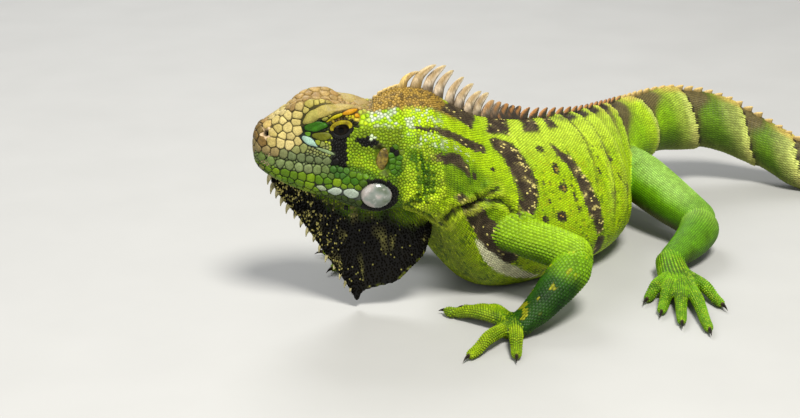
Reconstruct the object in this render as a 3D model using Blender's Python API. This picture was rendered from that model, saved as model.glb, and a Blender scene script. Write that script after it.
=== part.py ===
# Green iguana at rest, life size. Metres, +Z up, trunk along X with the head toward -X.
# The origin is on the belly's resting flat, under the middle of the trunk.
import bpy
import bmesh
import math
import numpy as np
from mathutils import Vector

MM = 0.001
GAP = 0.30              # mm left between neighbouring sub-parts
HEAD_RIGHT = 57.0       # degrees the head is turned to the animal's right
HEAD_REF = (-122.0, 48.3, 85.6)   # mm, reference point in the middle of the skull
HEAD_SIDES = 20
BODY_SIDES = 20
TAIL_SIDES = (16, 14, 10, 8, 6)
STEP_NECK = 6.0         # mm between sections
STEP_TRUNK = 12.0
NECK_SPLIT = 25.0       # mm along the spine where the neck ends
TRUNK_SPLIT = 226.0     # mm along the spine where the trunk ends and the tail starts
TAIL_SPLITS = (316.0, 420.0, 560.0, 730.0)

# Spine path behind the head and the body's profile on it, all mm:
# x, y, ridge height, underside height, half width, height of the widest point
BODY = [
    (-106.21, 23.98, 112.0, 54.4, 20.3, 71.5),
    (-102.94, 18.95, 112.0, 51.0, 20.2, 71.5),
    (-97.0, 15.8, 109.2, 44.5, 20.3, 69.0),
    (-89.0, 13.7, 104.4, 32.0, 21.2, 61.5),
    (-80.0, 12.2, 99.4, 18.0, 22.5, 52.0),
    (-63.0, 8.0, 91.0, 2.5, 27.0, 38.0),
    (-50.0, 5.8, 87.4, -0.8, 30.0, 33.0),
    (-40.0, 4.0, 84.8, -1.5, 32.5, 30.0),
    (-17.0, 1.0, 80.5, -1.6, 37.0, 27.0),
    (5.0, 0.0, 77.0, -1.6, 38.5, 26.0),
    (26.0, 0.0, 74.0, -1.6, 35.5, 26.0),
    (45.0, 2.0, 71.5, -1.5, 27.6, 27.0),
    (65.0, 5.0, 68.5, -0.6, 22.2, 29.0),
    (83.0, 8.0, 65.5, 5.0, 20.0, 32.0),
    (100.0, 11.0, 63.0, 13.0, 18.8, 35.0),
    (118.0, 12.0, 61.0, 19.0, 18.0, 38.0),
    (137.0, 10.0, 60.5, 21.5, 16.8, 39.5),
    (155.0, 3.0, 60.5, 22.5, 15.6, 40.5),
    (169.0, -9.0, 58.5, 22.5, 14.6, 39.5),
    (181.0, -24.0, 53.0, 19.5, 13.8, 35.5),
    (189.0, -39.0, 45.5, 14.0, 13.0, 29.0),
    (193.0, -55.0, 36.5, 7.0, 12.3, 21.0),
    (194.0, -72.0, 29.5, 1.2, 11.6, 14.5),
    (197.0, -88.0, 26.0, -0.6, 11.0, 12.5),
    (207.0, -103.0, 24.4, -0.8, 10.5, 11.6),
    (224.0, -114.0, 23.0, -0.8, 9.9, 10.9),
    (247.0, -120.0, 21.5, -0.8, 9.3, 10.1),
    (274.0, -121.0, 20.0, -0.8, 8.6, 9.4),
    (304.0, -116.0, 18.2, -0.7, 7.9, 8.6),
    (338.0, -107.0, 16.4, -0.7, 7.1, 7.7),
    (375.0, -96.5, 14.6, -0.6, 6.4, 6.8),
    (415.0, -86.5, 12.9, -0.6, 5.7, 6.0),
    (460.0, -79.5, 11.1, -0.5, 4.9, 5.2),
    (505.0, -77.5, 9.4, -0.5, 4.2, 4.4),
    (550.0, -80.5, 7.8, -0.4, 3.5, 3.7),
    (595.0, -88.0, 6.4, -0.4, 2.9, 3.0),
    (635.0, -98.0, 5.2, -0.3, 2.35, 2.5),
    (670.0, -109.0, 4.2, -0.3, 1.9, 2.0),
    (700.0, -119.5, 3.3, -0.2, 1.5, 1.6),
]

# Head sections from the snout back. Each: distance along the head's axis, then the half
# outline as (lateral, height) from the crown over brow, cheek, lip and jaw to the throat.
HEAD = [
    (-41.2, (0, 1.5), (1.6, 0.9), (2.6, -0.6), (3.0, -2.6), (2.6, -4.6), (1.6, -6.4), (0, -7.2)),
    (-40.4, (0, 5.2), (3.4, 4.3), (5.2, 1.4), (5.8, -2.2), (5.4, -5.4), (3.8, -9.2), (0, -10.8)),
    (-38.2, (0, 9.4), (5.4, 8.0), (8.0, 4.2), (8.6, -1.2), (8.3, -5.2), (6.6, -11.4), (0, -14.0)),
    (-35.0, (0, 11.0), (6.6, 9.3), (10.0, 5.4), (10.4, -0.8), (10.1, -5.2), (8.4, -13.2), (0, -16.4)),
    (-30.5, (0, 13.8), (8.0, 12.4), (11.4, 6.2), (12.0, -0.6), (12.0, -5.3), (10.2, -15.4), (0, -19.0)),
    (-25.0, (0, 16.6), (9.4, 15.9), (12.4, 7.4), (13.4, -0.4), (13.6, -5.5), (11.6, -17.6), (0, -21.6)),
    (-19.0, (0, 19.6), (10.8, 21.2), (13.4, 9.6), (14.4, -0.2), (15.0, -5.8), (12.9, -19.6), (0, -23.8)),
    (-13.0, (0, 19.8), (12.2, 23.2), (14.6, 11.4), (15.4, 0.2), (16.1, -6.2), (13.9, -21.2), (0, -25.6)),
    (-7.0, (0, 19.8), (13.0, 23.0), (15.7, 12.0), (16.2, 0.8), (17.0, -6.8), (14.8, -22.6), (0, -27.2)),
    (0.0, (0, 18.2), (13.4, 18.9), (16.2, 11.6), (17.0, 0.6), (18.1, -8.2), (16.0, -24.6), (0, -28.8)),
    (6.0, (0, 17.8), (13.0, 17.8), (16.4, 10.4), (17.6, -0.2), (19.4, -10.8), (17.6, -26.4), (0, -30.0)),
    (12.0, (0, 17.0), (12.0, 16.2), (16.6, 9.2), (18.3, -1.6), (20.8, -14.2), (18.8, -28.2), (0, -31.0)),
    (18.0, (0, 22.6), (11.0, 19.2), (16.8, 8.8), (18.6, -2.4), (21.6, -15.6), (18.6, -28.8), (0, -31.2)),
    (24.0, (0, 25.2), (10.2, 21.4), (16.8, 9.4), (18.8, -2.4), (21.4, -15.4), (17.4, -28.0), (0, -31.0)),
    (29.0, (0, 26.4), (9.4, 23.2), (16.6, 10.0), (19.4, -3.0), (20.6, -14.6), (16.4, -26.8), (0, -31.2)),
]

EYE = (1.2, 11.0, 9.2, 5.5)              # along, lateral, height, radius on the head
TYMPANUM = (20.2, 18.0, -3.9)            # centre
TYMPANUM_R = (2.7, 1.4, 5.5)             # half sizes
TYMPANUM_TILT = -14.0
SHIELD = (17.4, 19.4, -21.2)
SHIELD_R = (7.4, 2.8, 6.4)
NOSTRIL = (-34.6, 9.6, 6.2, 1.5)

# Free edge of the throat fan from the chin round the tip to the throat (along, height)
FAN_EDGE = [(-35.0, -15.5), (-31.8, -24.0), (-27.0, -31.0), (-20.5, -39.0), (-14.5, -47.5),
            (-8.5, -57.0), (-1.5, -67.5), (3.5, -75.5), (7.4, -82.6), (10.4, -77.2),
            (16.6, -75.0), (27.0, -71.8), (34.2, -64.8), (40.0, -58.6), (42.6, -51.5),
            (44.2, -44.5), (42.5, -38.5)]
FAN_ROOT = [(-31.5, -11.0), (-28.0, -13.5), (-24.5, -15.0), (-20.5, -16.5), (-16.0, -18.0),
            (-11.0, -19.0), (-6.0, -20.0), (-1.0, -21.0), (4.0, -22.0), (8.0, -23.0),
            (13.0, -24.0), (18.0, -24.5), (23.0, -25.0), (27.5, -25.5), (31.0, -26.0),
            (34.0, -27.0), (37.0, -29.0)]

# Crest spines: place along the neck and trunk spine, length, fore-and-aft base
CREST_NECK = [(2.8, 10.0, 4.6), (8.2, 14.0, 5.0), (14.0, 15.5, 5.2), (20.0, 15.5, 5.2)]
CREST_TRUNK = [(29.6, 15.0, 5.0), (35.6, 14.0, 5.0), (41.8, 13.5, 5.0), (48.4, 12.5, 4.8),
               (55.4, 9.0, 4.4), (61.2, 8.6, 4.2), (66.8, 8.0, 4.0), (72.4, 7.4, 4.0),
               (78.2, 7.0, 4.0)]
SMALL_FROM, SMALL_TO, SMALL_PITCH = 85.5, 221.0, 9.0
TAIL_CREST_TO, TAIL_PITCH = 470.0, 12.5

LIMBS_L = dict(
    upper=[(-67.0, -4.0, 38.5, 12.5, 10.5), (-67.0, -16.0, 36.0, 12.2, 9.8),
           (-67.2, -28.0, 33.8, 10.8, 9.4), (-67.6, -40.0, 32.4, 10.0, 9.6),
           (-67.8, -50.0, 30.5, 9.4, 9.6)],
    fore=[(-67.8, -52.0, 27.0, 8.0, 8.0), (-74.0, -52.5, 25.0, 9.6, 9.6),
          (-83.0, -51.0, 20.5, 9.4, 9.2), (-93.0, -49.0, 15.0, 8.2, 7.8),
          (-100.5, -47.0, 11.0, 7.4, 6.4)],
    thigh=[(81.0, -4.0, 31.0, 14.0, 14.5), (76.0, -18.0, 28.5, 14.4, 14.5),
           (69.5, -33.0, 24.0, 14.0, 13.8), (63.0, -48.0, 19.5, 12.8, 12.6),
           (57.5, -61.0, 16.0, 11.2, 11.0)],
    shank=[(56.0, -63.5, 14.5, 8.5, 8.5), (47.5, -67.5, 14.2, 11.0, 10.6),
           (35.5, -69.5, 12.6, 10.2, 9.8), (22.0, -69.5, 10.8, 8.6, 8.0),
           (12.0, -68.5, 9.2, 7.4, 6.4)],
)
LIMBS_R = dict(
    upper=[(-66.0, 16.0, 38.5, 12.5, 10.5), (-58.0, 27.0, 36.5, 12.0, 10.0),
           (-46.0, 38.0, 34.5, 10.8, 9.8), (-32.0, 46.5, 32.2, 10.0, 9.8),
           (-20.0, 51.5, 30.0, 9.4, 9.6)],
    fore=[(-18.5, 53.0, 27.0, 8.0, 8.0), (-21.0, 55.5, 25.0, 9.6, 9.6),
          (-27.5, 61.5, 20.5, 9.4, 9.2), (-34.5, 67.5, 15.0, 8.2, 7.8),
          (-40.0, 72.0, 11.0, 7.4, 6.4)],
    thigh=[(84.0, 22.0, 33.0, 14.0, 14.5), (83.5, 36.0, 30.0, 14.2, 14.5),
           (81.0, 51.0, 25.5, 13.6, 13.7), (77.5, 65.0, 20.5, 12.5, 12.4),
           (74.5, 76.0, 16.5, 11.0, 10.8)],
    shank=[(73.0, 78.0, 14.8, 8.5, 8.5), (65.0, 81.0, 14.2, 10.8, 10.4),
           (54.0, 83.5, 12.6, 10.0, 9.6), (41.0, 84.5, 10.8, 8.4, 7.8),
           (32.0, 84.5, 9.2, 7.3, 6.3)],
)

# Hands and feet: middle, half sizes, heading; digits as (root offset, heading, length)
# Headings are degrees from -X turning toward -Y for the left limb and toward +Y for the right.
HAND_L = dict(mid=(-105.0, -39.6, 4.4), half=(10.0, 9.4, 5.0),
              digits=[(-118.0, 23.0), (-106.0, 29.0), (-93.0, 33.0), (-3.0, 33.0), (30.0, 26.0)])
HAND_R = dict(mid=(-45.5, 76.0, 4.4), half=(10.0, 9.4, 5.0),
              digits=[(-46.0, 22.0), (-24.0, 29.0), (-8.0, 33.0), (7.0, 33.0), (50.0, 25.0)])
FOOT_L = dict(ankle=(7.0, -68.5, 7.6), ball=(-11.0, -82.0, 3.8),
              digits=[(3.0, 22.0), (16.0, 35.0), (25.0, 47.0), (34.0, 57.0), (52.0, 33.0)])
FOOT_R = dict(ankle=(27.5, 84.5, 7.6), ball=(8.0, 92.0, 3.8),
              digits=[(-24.0, 22.0), (-6.0, 35.0), (4.0, 47.0), (14.0, 57.0), (40.0, 33.0)])
DIGIT_R = (3.8, 3.1)          # radius at the root and at the tip
CLAW_LEN = (5.2, 6.0)         # hand, foot
FAN_HALF = (4.6, 0.9)         # half thickness at the root and at the free edge

COLOURS = {
    'head': (0.35, 0.48, 0.10), 'neck': (0.30, 0.55, 0.04), 'trunk': (0.30, 0.55, 0.03),
    'dewlap': (0.05, 0.05, 0.02), 'tail': (0.24, 0.42, 0.05), 'arm': (0.16, 0.42, 0.02),
    'forearm': (0.12, 0.36, 0.02), 'hand': (0.26, 0.48, 0.03), 'thigh': (0.14, 0.45, 0.03),
    'shank': (0.14, 0.40, 0.03), 'foot': (0.16, 0.42, 0.02), 'claw': (0.06, 0.04, 0.03),
    'eye': (0.02, 0.015, 0.01), 'tympanum': (0.30, 0.20, 0.04), 'shield': (0.75, 0.78, 0.74),
}


# ---------------------------------------------------------------- scene and materials
def clear_scene():
    for ob in list(bpy.data.objects):
        bpy.data.objects.remove(ob, do_unlink=True)
    for coll in list(bpy.data.collections):
        bpy.data.collections.remove(coll)


def material(name):
    kind = name.split('_')[0]
    mat = bpy.data.materials.new(name)
    mat.use_nodes = True
    bsdf = mat.node_tree.nodes['Principled BSDF']
    r, g, b = COLOURS[kind]
    bsdf.inputs['Base Color'].default_value = (r, g, b, 1.0)
    bsdf.inputs['Roughness'].default_value = 0.2 if kind == 'eye' else 0.55
    return mat


clear_scene()
MODEL = bpy.data.collections.new('green_iguana')
bpy.context.scene.collection.children.link(MODEL)
CUTS = bpy.data.collections.new('cutters')
bpy.context.scene.collection.children.link(CUTS)


# ---------------------------------------------------------------- smooth tables
def slopes(x, y):
    # monotone slopes, so an interpolated profile never overshoots its table
    h = np.diff(x)
    d = np.diff(y) / h
    m = np.zeros(len(x))
    m[0], m[-1] = d[0], d[-1]
    for i in range(1, len(x) - 1):
        if d[i - 1] * d[i] > 0:
            w1 = 2 * h[i] + h[i - 1]
            w2 = h[i] + 2 * h[i - 1]
            m[i] = (w1 + w2) / (w1 / d[i - 1] + w2 / d[i])
    return m


class Table:
    def __init__(self, x, y, smooth=False):
        self.x = np.asarray(x, float)
        self.y = np.asarray(y, float)
        self.m = np.gradient(self.y, self.x) if smooth else slopes(self.x, self.y)

    def at(self, s):
        x, y, m = self.x, self.y, self.m
        i = int(np.clip(np.searchsorted(x, s) - 1, 0, len(x) - 2))
        h = x[i + 1] - x[i]
        t = float(np.clip((s - x[i]) / h, 0.0, 1.0))
        a = (1 + 2 * t) * (1 - t) ** 2
        b = t * (1 - t) ** 2
        c = t * t * (3 - 2 * t)
        d = t * t * (t - 1)
        return a * y[i] + b * h * m[i] + c * y[i + 1] + d * h * m[i + 1]


def chord(points):
    p = np.asarray(points, float)
    return np.concatenate([[0.0], np.cumsum(np.linalg.norm(np.diff(p, axis=0), axis=1))])


BODY_A = np.array(BODY)
SPINE = chord(BODY_A[:, :2])
PATH_X = Table(SPINE, BODY_A[:, 0], smooth=True)
PATH_Y = Table(SPINE, BODY_A[:, 1], smooth=True)
TOP, LOW, WIDE, WIDE_Z = [Table(SPINE, BODY_A[:, k]) for k in (2, 3, 4, 5)]
TAIL_END = SPINE[-1]


def heading(s):
    e = 0.5
    if s < 1.5:
        t = math.radians(HEAD_RIGHT)
        return np.array([math.cos(t), -math.sin(t)])
    a = np.array([PATH_X.at(s - e), PATH_Y.at(s - e)])
    b = np.array([PATH_X.at(s + e), PATH_Y.at(s + e)])
    if s > TAIL_END - e:
        b = np.array([PATH_X.at(TAIL_END), PATH_Y.at(TAIL_END)])
    d = b - a
    return d / np.linalg.norm(d)


# ---------------------------------------------------------------- mesh building
def add_object(name, verts, faces, coll=None):
    mesh = bpy.data.meshes.new(name)
    mesh.from_pydata([tuple(c * MM for c in v) for v in verts], [], faces)
    mesh.update()
    ob = bpy.data.objects.new(name, mesh)
    (coll or MODEL).objects.link(ob)
    bm = bmesh.new()
    bm.from_mesh(mesh)
    bmesh.ops.remove_doubles(bm, verts=bm.verts, dist=0.00001)
    bmesh.ops.recalc_face_normals(bm, faces=bm.faces)
    bm.to_mesh(mesh)
    bm.free()
    if coll is None:
        mesh.materials.append(material(name))
    else:
        ob.hide_render = True
        ob.display_type = 'WIRE'
    return ob


def rings_to_mesh(rings, tip=None):
    # closed loft; every ring has the same number of points; the ends are capped by a fan
    n = len(rings[0])
    verts = [tuple(p) for ring in rings for p in ring]
    faces = []
    for i in range(len(rings) - 1):
        for j in range(n):
            k = (j + 1) % n
            faces.append((i * n + j, i * n + k, (i + 1) * n + k, (i + 1) * n + j))
    faces.append(tuple(range(n - 1, -1, -1)))
    last = (len(rings) - 1) * n
    if tip is not None:
        verts.append(tuple(tip))
        for j in range(n):
            faces.append((last + j, last + (j + 1) % n, len(verts) - 1))
    else:
        faces.append(tuple(range(last, last + n)))
    return verts, faces


def even(points, count):
    # points spread along a closed smooth outline that is symmetric about its first axis
    p = np.asarray(points, float)
    s = chord(p)
    ty, tz = Table(s, p[:, 0], smooth=True), Table(s, p[:, 1], smooth=True)
    half = [(ty.at(v), tz.at(v)) for v in np.linspace(0, s[-1], count // 2 + 1)]
    left = [(-a, b) for a, b in half[1:-1]]
    return half + left[::-1]


def oval(top, low, wide, wide_z, sides, grow=0.0, upper=1.75, lower=2.35):
    # body section: narrow over the back, fuller below, symmetric left and right
    pts = []
    fine = 60
    for i in range(fine + 1):
        a = math.pi * i / fine
        ca, sa = math.cos(a), math.sin(a)
        e = upper if ca > 0 else lower
        span = (top + grow - wide_z) if ca > 0 else (wide_z - low + grow)
        pts.append(((wide + grow) * abs(sa) ** (2 / e),
                    wide_z + math.copysign(span * abs(ca) ** (2 / e), ca)))
    p = np.array(pts)
    s = chord(p)
    out = [(np.interp(v, s, p[:, 0]), np.interp(v, s, p[:, 1]))
           for v in np.linspace(0, s[-1], sides // 2 + 1)]
    left = [(-a, b) for a, b in out[1:-1]]
    return out + left[::-1]


def body_ring(s, sides, grow=0.0):
    d = heading(s)
    side = np.array([-d[1], d[0]])       # toward the animal's right
    x, y = PATH_X.at(s), PATH_Y.at(s)
    round_tail = float(np.clip((s - 190.0) / 60.0, 0.0, 1.0))
    pts = oval(TOP.at(s), LOW.at(s), WIDE.at(s), WIDE_Z.at(s), sides, grow,
               1.75 + 0.15 * round_tail, 2.35 - 0.3 * round_tail)
    floor = -grow
    return [(x + side[0] * a, y + side[1] * a, max(b, floor)) for a, b in pts]


def body_tube(a, b, step, sides, grow=0.0):
    count = max(2, int(round((b - a) / step)) + 1)
    return [body_ring(s, sides, grow) for s in np.linspace(a, b, count)]


def head_point(along, lateral, height):
    # from the head's own frame (snout negative, lateral positive = animal's left)
    t = math.radians(HEAD_RIGHT)
    fx, fy = math.cos(t), -math.sin(t)
    return (HEAD_REF[0] + along * fx + lateral * fy,
            HEAD_REF[1] + along * fy - lateral * fx,
            HEAD_REF[2] + height)


def head_rings(grow=0.0):
    tables = []
    along = [row[0] for row in HEAD]
    for k in range(7):
        tables.append((Table(along, [row[k + 1][0] for row in HEAD]),
                       Table(along, [row[k + 1][1] for row in HEAD])))
    places = [-41.2, -40.4, -38.8, -36.2, -32.4, -28.0, -23.2, -18.4, -13.6, -8.8, -4.0,
              1.2, 6.6, 12.0, 17.4, 23.0, 29.0 - GAP / 2]
    rings = []
    for a in places:
        outline = even([(t[0].at(a), t[1].at(a)) for t in tables], HEAD_SIDES)
        if grow:
            mid = np.mean(outline, axis=0)
            out = []
            for p in outline:
                v = np.array(p) - mid
                out.append(tuple(np.array(p) + v / max(np.linalg.norm(v), 1e-6) * grow))
            outline = out
        rings.append([head_point(a, q[0], q[1]) for q in outline])
    return rings


def limb_rings(stations, sides, grow=0.0, round_end=True, round_start=False, count=6):
    p = np.asarray(stations, float)
    s = chord(p[:, :3])
    t = [Table(s, p[:, k], smooth=True) for k in range(3)]
    ra, rb = Table(s, p[:, 3]), Table(s, p[:, 4])
    places = list(np.linspace(0, s[-1], count))
    rings = []

    def ring(c, d, a, b):
        up = np.array([0, 0, 1.0])
        side = np.cross(d, up)
        side /= np.linalg.norm(side)
        nrm = np.cross(side, d)
        return [tuple(c + side * a * math.cos(w) + nrm * b * math.sin(w))
                for w in [2 * math.pi * j / sides for j in range(sides)]]

    def direction(v):
        a, b = max(0, v - 0.5), min(s[-1], v + 0.5)
        d = np.array([q.at(b) - q.at(a) for q in t])
        return d / np.linalg.norm(d)

    def cap(v, sign):
        c = np.array([q.at(v) for q in t])
        d = direction(v)
        a, b = ra.at(v) + grow, rb.at(v) + grow
        out = []
        for w in (36, 70):
            w = math.radians(w)
            out.append(ring(c + d * sign * a * math.sin(w), d, a * math.cos(w), b * math.cos(w)))
        return out

    if round_start:
        rings += cap(0.0, -1.0)[::-1]
    for v in places:
        c = np.array([q.at(v) for q in t])
        rings.append(ring(c, direction(v), ra.at(v) + grow, rb.at(v) + grow))
    if round_end:
        rings += cap(s[-1], 1.0)
    return rings


def ball(name, centre, half, turn=0.0, tilt=0.0, segs=12, rings=6, grow=0.0, coll=None):
    # an ellipsoid; half sizes along / across / up, turned about Z then tilted about its across axis
    ct, st = math.cos(math.radians(turn)), math.sin(math.radians(turn))
    cl, sl = math.cos(math.radians(tilt)), math.sin(math.radians(tilt))
    verts, faces = [], []
    for i in range(1, rings):
        a = math.pi * i / rings
        for j in range(segs):
            b = 2 * math.pi * j / segs
            x = (half[0] + grow) * math.sin(a) * math.cos(b)
            z = (half[2] + grow) * math.sin(a) * math.sin(b)
            y = (half[1] + grow) * math.cos(a)
            x, z = x * cl - z * sl, x * sl + z * cl
            verts.append((centre[0] + x * ct - y * st, centre[1] + x * st + y * ct, centre[2] + z))
    for sign in (1, -1):
        y = (half[1] + grow) * sign
        verts.append((centre[0] - y * st, centre[1] + y * ct, centre[2]))
    for i in range(rings - 2):
        for j in range(segs):
            k = (j + 1) % segs
            faces.append((i * segs + j, i * segs + k, (i + 1) * segs + k, (i + 1) * segs + j))
    n = len(verts)
    for j in range(segs):
        k = (j + 1) % segs
        faces.append((k, j, n - 2))
        faces.append(((rings - 2) * segs + j, (rings - 2) * segs + k, n - 1))
    return add_object(name, verts, faces, coll)


def boolean(ob, other, operation):
    mod = ob.modifiers.new('b', 'BOOLEAN')
    mod.operation = operation
    mod.solver = 'EXACT'
    mod.object = other
    bpy.context.view_layer.update()
    graph = bpy.context.evaluated_depsgraph_get()
    mesh = bpy.data.meshes.new_from_object(ob.evaluated_get(graph))
    ob.modifiers.clear()
    old = ob.data
    mats = [m for m in old.materials]
    ob.data = mesh
    mesh.materials.clear()
    for m in mats:
        mesh.materials.append(m)
    for poly in mesh.polygons:
        poly.material_index = 0
    bpy.data.meshes.remove(old)


def union(ob, verts, faces):
    other = add_object('join', verts, faces, CUTS)
    boolean(ob, other, 'UNION')
    bpy.data.objects.remove(other, do_unlink=True)


def cut(ob, other):
    boolean(ob, other, 'DIFFERENCE')


def mirror_heading(angle, side):
    # degrees from -X, turning toward -Y on the left and +Y on the right
    t = math.radians(angle)
    return np.array([-math.cos(t), -side * math.sin(t)])


# ---------------------------------------------------------------- crest spines
def spine_mesh(base, d, length, foot, lean, half_thick, sink):
    # a curved, flattened cone leaning back along the direction d
    up = np.array([0, 0, 1.0])
    f = np.array([d[0], d[1], 0.0])
    w = np.cross(f, up)
    b = np.array(base) - up * sink
    levels = []
    for t, size in ((0.0, 1.0), (0.42, 0.80), (0.76, 0.42)) if length > 6.5 else ((0.0, 1.0),):
        back = lean * length * (0.20 * t + 0.52 * t * t)
        rise = (length * 0.78) * (1.06 * t - 0.06 * t * t) + sink * min(1.0, t * 3)
        c = b + f * back + up * rise
        r, q = foot * 0.5 * size, half_thick * size
        levels.append([tuple(c - f * r), tuple(c - w * q), tuple(c + f * r), tuple(c + w * q)])
    tip = b + f * lean * length * 0.72 + up * (length * 0.78 + sink)
    return rings_to_mesh(levels, tip)


def crest(ob, rows, small, lean=1.0):
    verts, faces = [], []
    for s, length, foot in rows + small:
        base = (PATH_X.at(s), PATH_Y.at(s), TOP.at(s))
        tall = length > 6.0
        v, f = spine_mesh(base, heading(s), length, foot, lean, 1.25 if tall else 0.95,
                          2.2 if tall else 1.6)
        n = len(verts)
        verts += v
        faces += [tuple(i + n for i in face) for face in f]
    union(ob, verts, faces)


# ---------------------------------------------------------------- head
head = add_object('head', *rings_to_mesh(head_rings()))
head_grown = add_object('head_cut', *rings_to_mesh(head_rings(GAP)), coll=CUTS)
throat_grown = add_object('neck_cut', *rings_to_mesh(body_tube(-0.2, 66.0, 5.0, 32, GAP)), coll=CUTS)
for label, side in (('left', 1.0), ('right', -1.0)):
    c = head_point(EYE[0], EYE[1] * side, EYE[2])
    ball('eye_' + label, c, (EYE[3],) * 3, turn=-HEAD_RIGHT)
    cut(head, ball('eye_cut', c, (EYE[3],) * 3, turn=-HEAD_RIGHT, grow=GAP, coll=CUTS))
    c = head_point(TYMPANUM[0], TYMPANUM[1] * side, TYMPANUM[2])
    ball('tympanum_' + label, c, TYMPANUM_R, turn=-HEAD_RIGHT, tilt=TYMPANUM_TILT, segs=10, rings=5)
    cut(head, ball('ear_cut', c, TYMPANUM_R, turn=-HEAD_RIGHT, tilt=TYMPANUM_TILT, segs=10,
                   rings=5, grow=GAP, coll=CUTS))
    c = head_point(SHIELD[0], SHIELD[1] * side, SHIELD[2])
    ball('shield_' + label, c, SHIELD_R, turn=-HEAD_RIGHT, segs=12, rings=6)
    cut(head, ball('shield_cut', c, SHIELD_R, turn=-HEAD_RIGHT, segs=12, rings=6, grow=GAP, coll=CUTS))
    c = head_point(NOSTRIL[0], NOSTRIL[1] * side, NOSTRIL[2])
    cut(head, ball('nostril_cut', c, (NOSTRIL[3],) * 3, turn=-HEAD_RIGHT, segs=7, rings=4, coll=CUTS))

# ---------------------------------------------------------------- neck, trunk, tail
neck = add_object('neck', *rings_to_mesh(body_tube(GAP / 2, NECK_SPLIT - GAP / 2, STEP_NECK, BODY_SIDES)))
crest(neck, CREST_NECK, [])
trunk = add_object('trunk', *rings_to_mesh(
    body_tube(NECK_SPLIT + GAP / 2, TRUNK_SPLIT - GAP / 2, STEP_TRUNK, BODY_SIDES)))
small = [(s, 6.4 - 3.4 * min(1.0, (s - SMALL_FROM) / 70.0), 4.6)
         for s in np.arange(SMALL_FROM, SMALL_TO, SMALL_PITCH)]
crest(trunk, CREST_TRUNK, small)
ends = (TRUNK_SPLIT,) + TAIL_SPLITS + (TAIL_END,)
for k in range(5):
    a, b = ends[k] + GAP / 2, ends[k + 1] - (GAP / 2 if k < 4 else 0.0)
    rings = body_tube(a, b, (10.0, 13.0, 20.0, 26.0, 34.0)[k], TAIL_SIDES[k])
    ob = add_object('tail_%d' % (k + 1), *rings_to_mesh(rings))
    low = [(s, 2.9 - 1.1 * (s - TRUNK_SPLIT) / 300.0, 5.0)
           for s in np.arange(a + 4.0, min(b - 4.0, TAIL_CREST_TO), TAIL_PITCH)]
    if low:
        crest(ob, [], low)

# ---------------------------------------------------------------- throat fan
def fan_mesh(grow=0.0):
    edge, root = np.array(FAN_EDGE), np.array(FAN_ROOT)
    rows = (0.0, 0.4, 0.75, 1.0)
    sides = []
    for sign in (1.0, -1.0):
        grid = []
        for v in rows:
            half = FAN_HALF[0] + (FAN_HALF[1] - FAN_HALF[0]) * v ** 0.75
            line = []
            for i in range(len(edge)):
                p = root[i] * (1 - v) + edge[i] * v
                ends = min(1.0, 0.35 + 0.25 * min(i, len(edge) - 1 - i))
                line.append(head_point(p[0], sign * half * ends, p[1]))
            grid.append(line)
        sides.append(grid)
    n, m = len(edge), len(rows)
    verts = [p for grid in sides for line in grid for p in line]
    at = lambda g, r, i: g * n * m + r * n + i
    faces = []
    for r in range(m - 1):
        for i in range(n - 1):
            faces.append((at(0, r, i), at(0, r, i + 1), at(0, r + 1, i + 1), at(0, r + 1, i)))
            faces.append((at(1, r, i), at(1, r + 1, i), at(1, r + 1, i + 1), at(1, r, i + 1)))
        for i in (0, n - 1):
            quad = (at(0, r, i), at(0, r + 1, i), at(1, r + 1, i), at(1, r, i))
            faces.append(quad if i == 0 else quad[::-1])
    for i in range(n - 1):
        faces.append((at(0, 0, i), at(1, 0, i), at(1, 0, i + 1), at(0, 0, i + 1)))
        faces.append((at(0, m - 1, i), at(0, m - 1, i + 1), at(1, m - 1, i + 1), at(1, m - 1, i)))
    return verts, faces


dewlap = add_object('dewlap', *fan_mesh())
gular_v, gular_f = [], []
for i in range(0, 6):
    p, q = FAN_EDGE[i], FAN_EDGE[i + 1]
    mid = ((p[0] + q[0]) / 2, (p[1] + q[1]) / 2)
    size = 4.0 - 0.4 * i
    ring = []
    for along, lat in ((-1.3, 0.0), (0.0, 0.7), (1.3, 0.0), (0.0, -0.7)):
        ring.append(head_point(mid[0] + 1.0 + along * 0.5, lat, mid[1] - along * 0.9 + 0.8))
    tip = head_point(mid[0] - size * 0.72, 0.0, mid[1] - size * 0.55)
    v, f = rings_to_mesh([ring], tip)
    n = len(gular_v)
    gular_v += v
    gular_f += [tuple(k + n for k in face) for face in f]
union(dewlap, gular_v, gular_f)
cut(dewlap, head_grown)
cut(dewlap, throat_grown)

# ---------------------------------------------------------------- limbs
body_grown = add_object('body_cut', *rings_to_mesh(
    body_tube(10.0, 260.0, STEP_TRUNK * 0.6, BODY_SIDES + 4, GAP + 0.3)), coll=CUTS)
floor_box = add_object('floor_cut', [(x, y, z) for x in (-400, 900) for y in (-400, 400)
                                     for z in (-60, 0)],
                       [(0, 1, 3, 2), (4, 6, 7, 5), (0, 4, 5, 1), (2, 3, 7, 6), (0, 2, 6, 4),
                        (1, 5, 7, 3)], CUTS)


def claw(name, base, d, length, radius):
    # curved cone leaving the digit's end and bending down
    rings = []
    side = np.array([-d[1], d[0], 0.0])
    for t, size in ((0.0, 1.0), (0.5, 0.68)):
        c = np.array([base[0] + d[0] * length * t, base[1] + d[1] * length * t,
                      base[2] + 0.5 * t - 1.6 * t * t])
        ring = []
        for j in range(5):
            w = 2 * math.pi * j / 5
            ring.append(tuple(c + side * radius * size * 0.75 * math.cos(w)
                              + np.array([0, 0, 1.0]) * radius * size * math.sin(w)))
        rings.append(ring)
    tip = (base[0] + d[0] * length, base[1] + d[1] * length, base[2] - 1.6)
    add_object(name, *rings_to_mesh(rings, tip))


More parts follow.
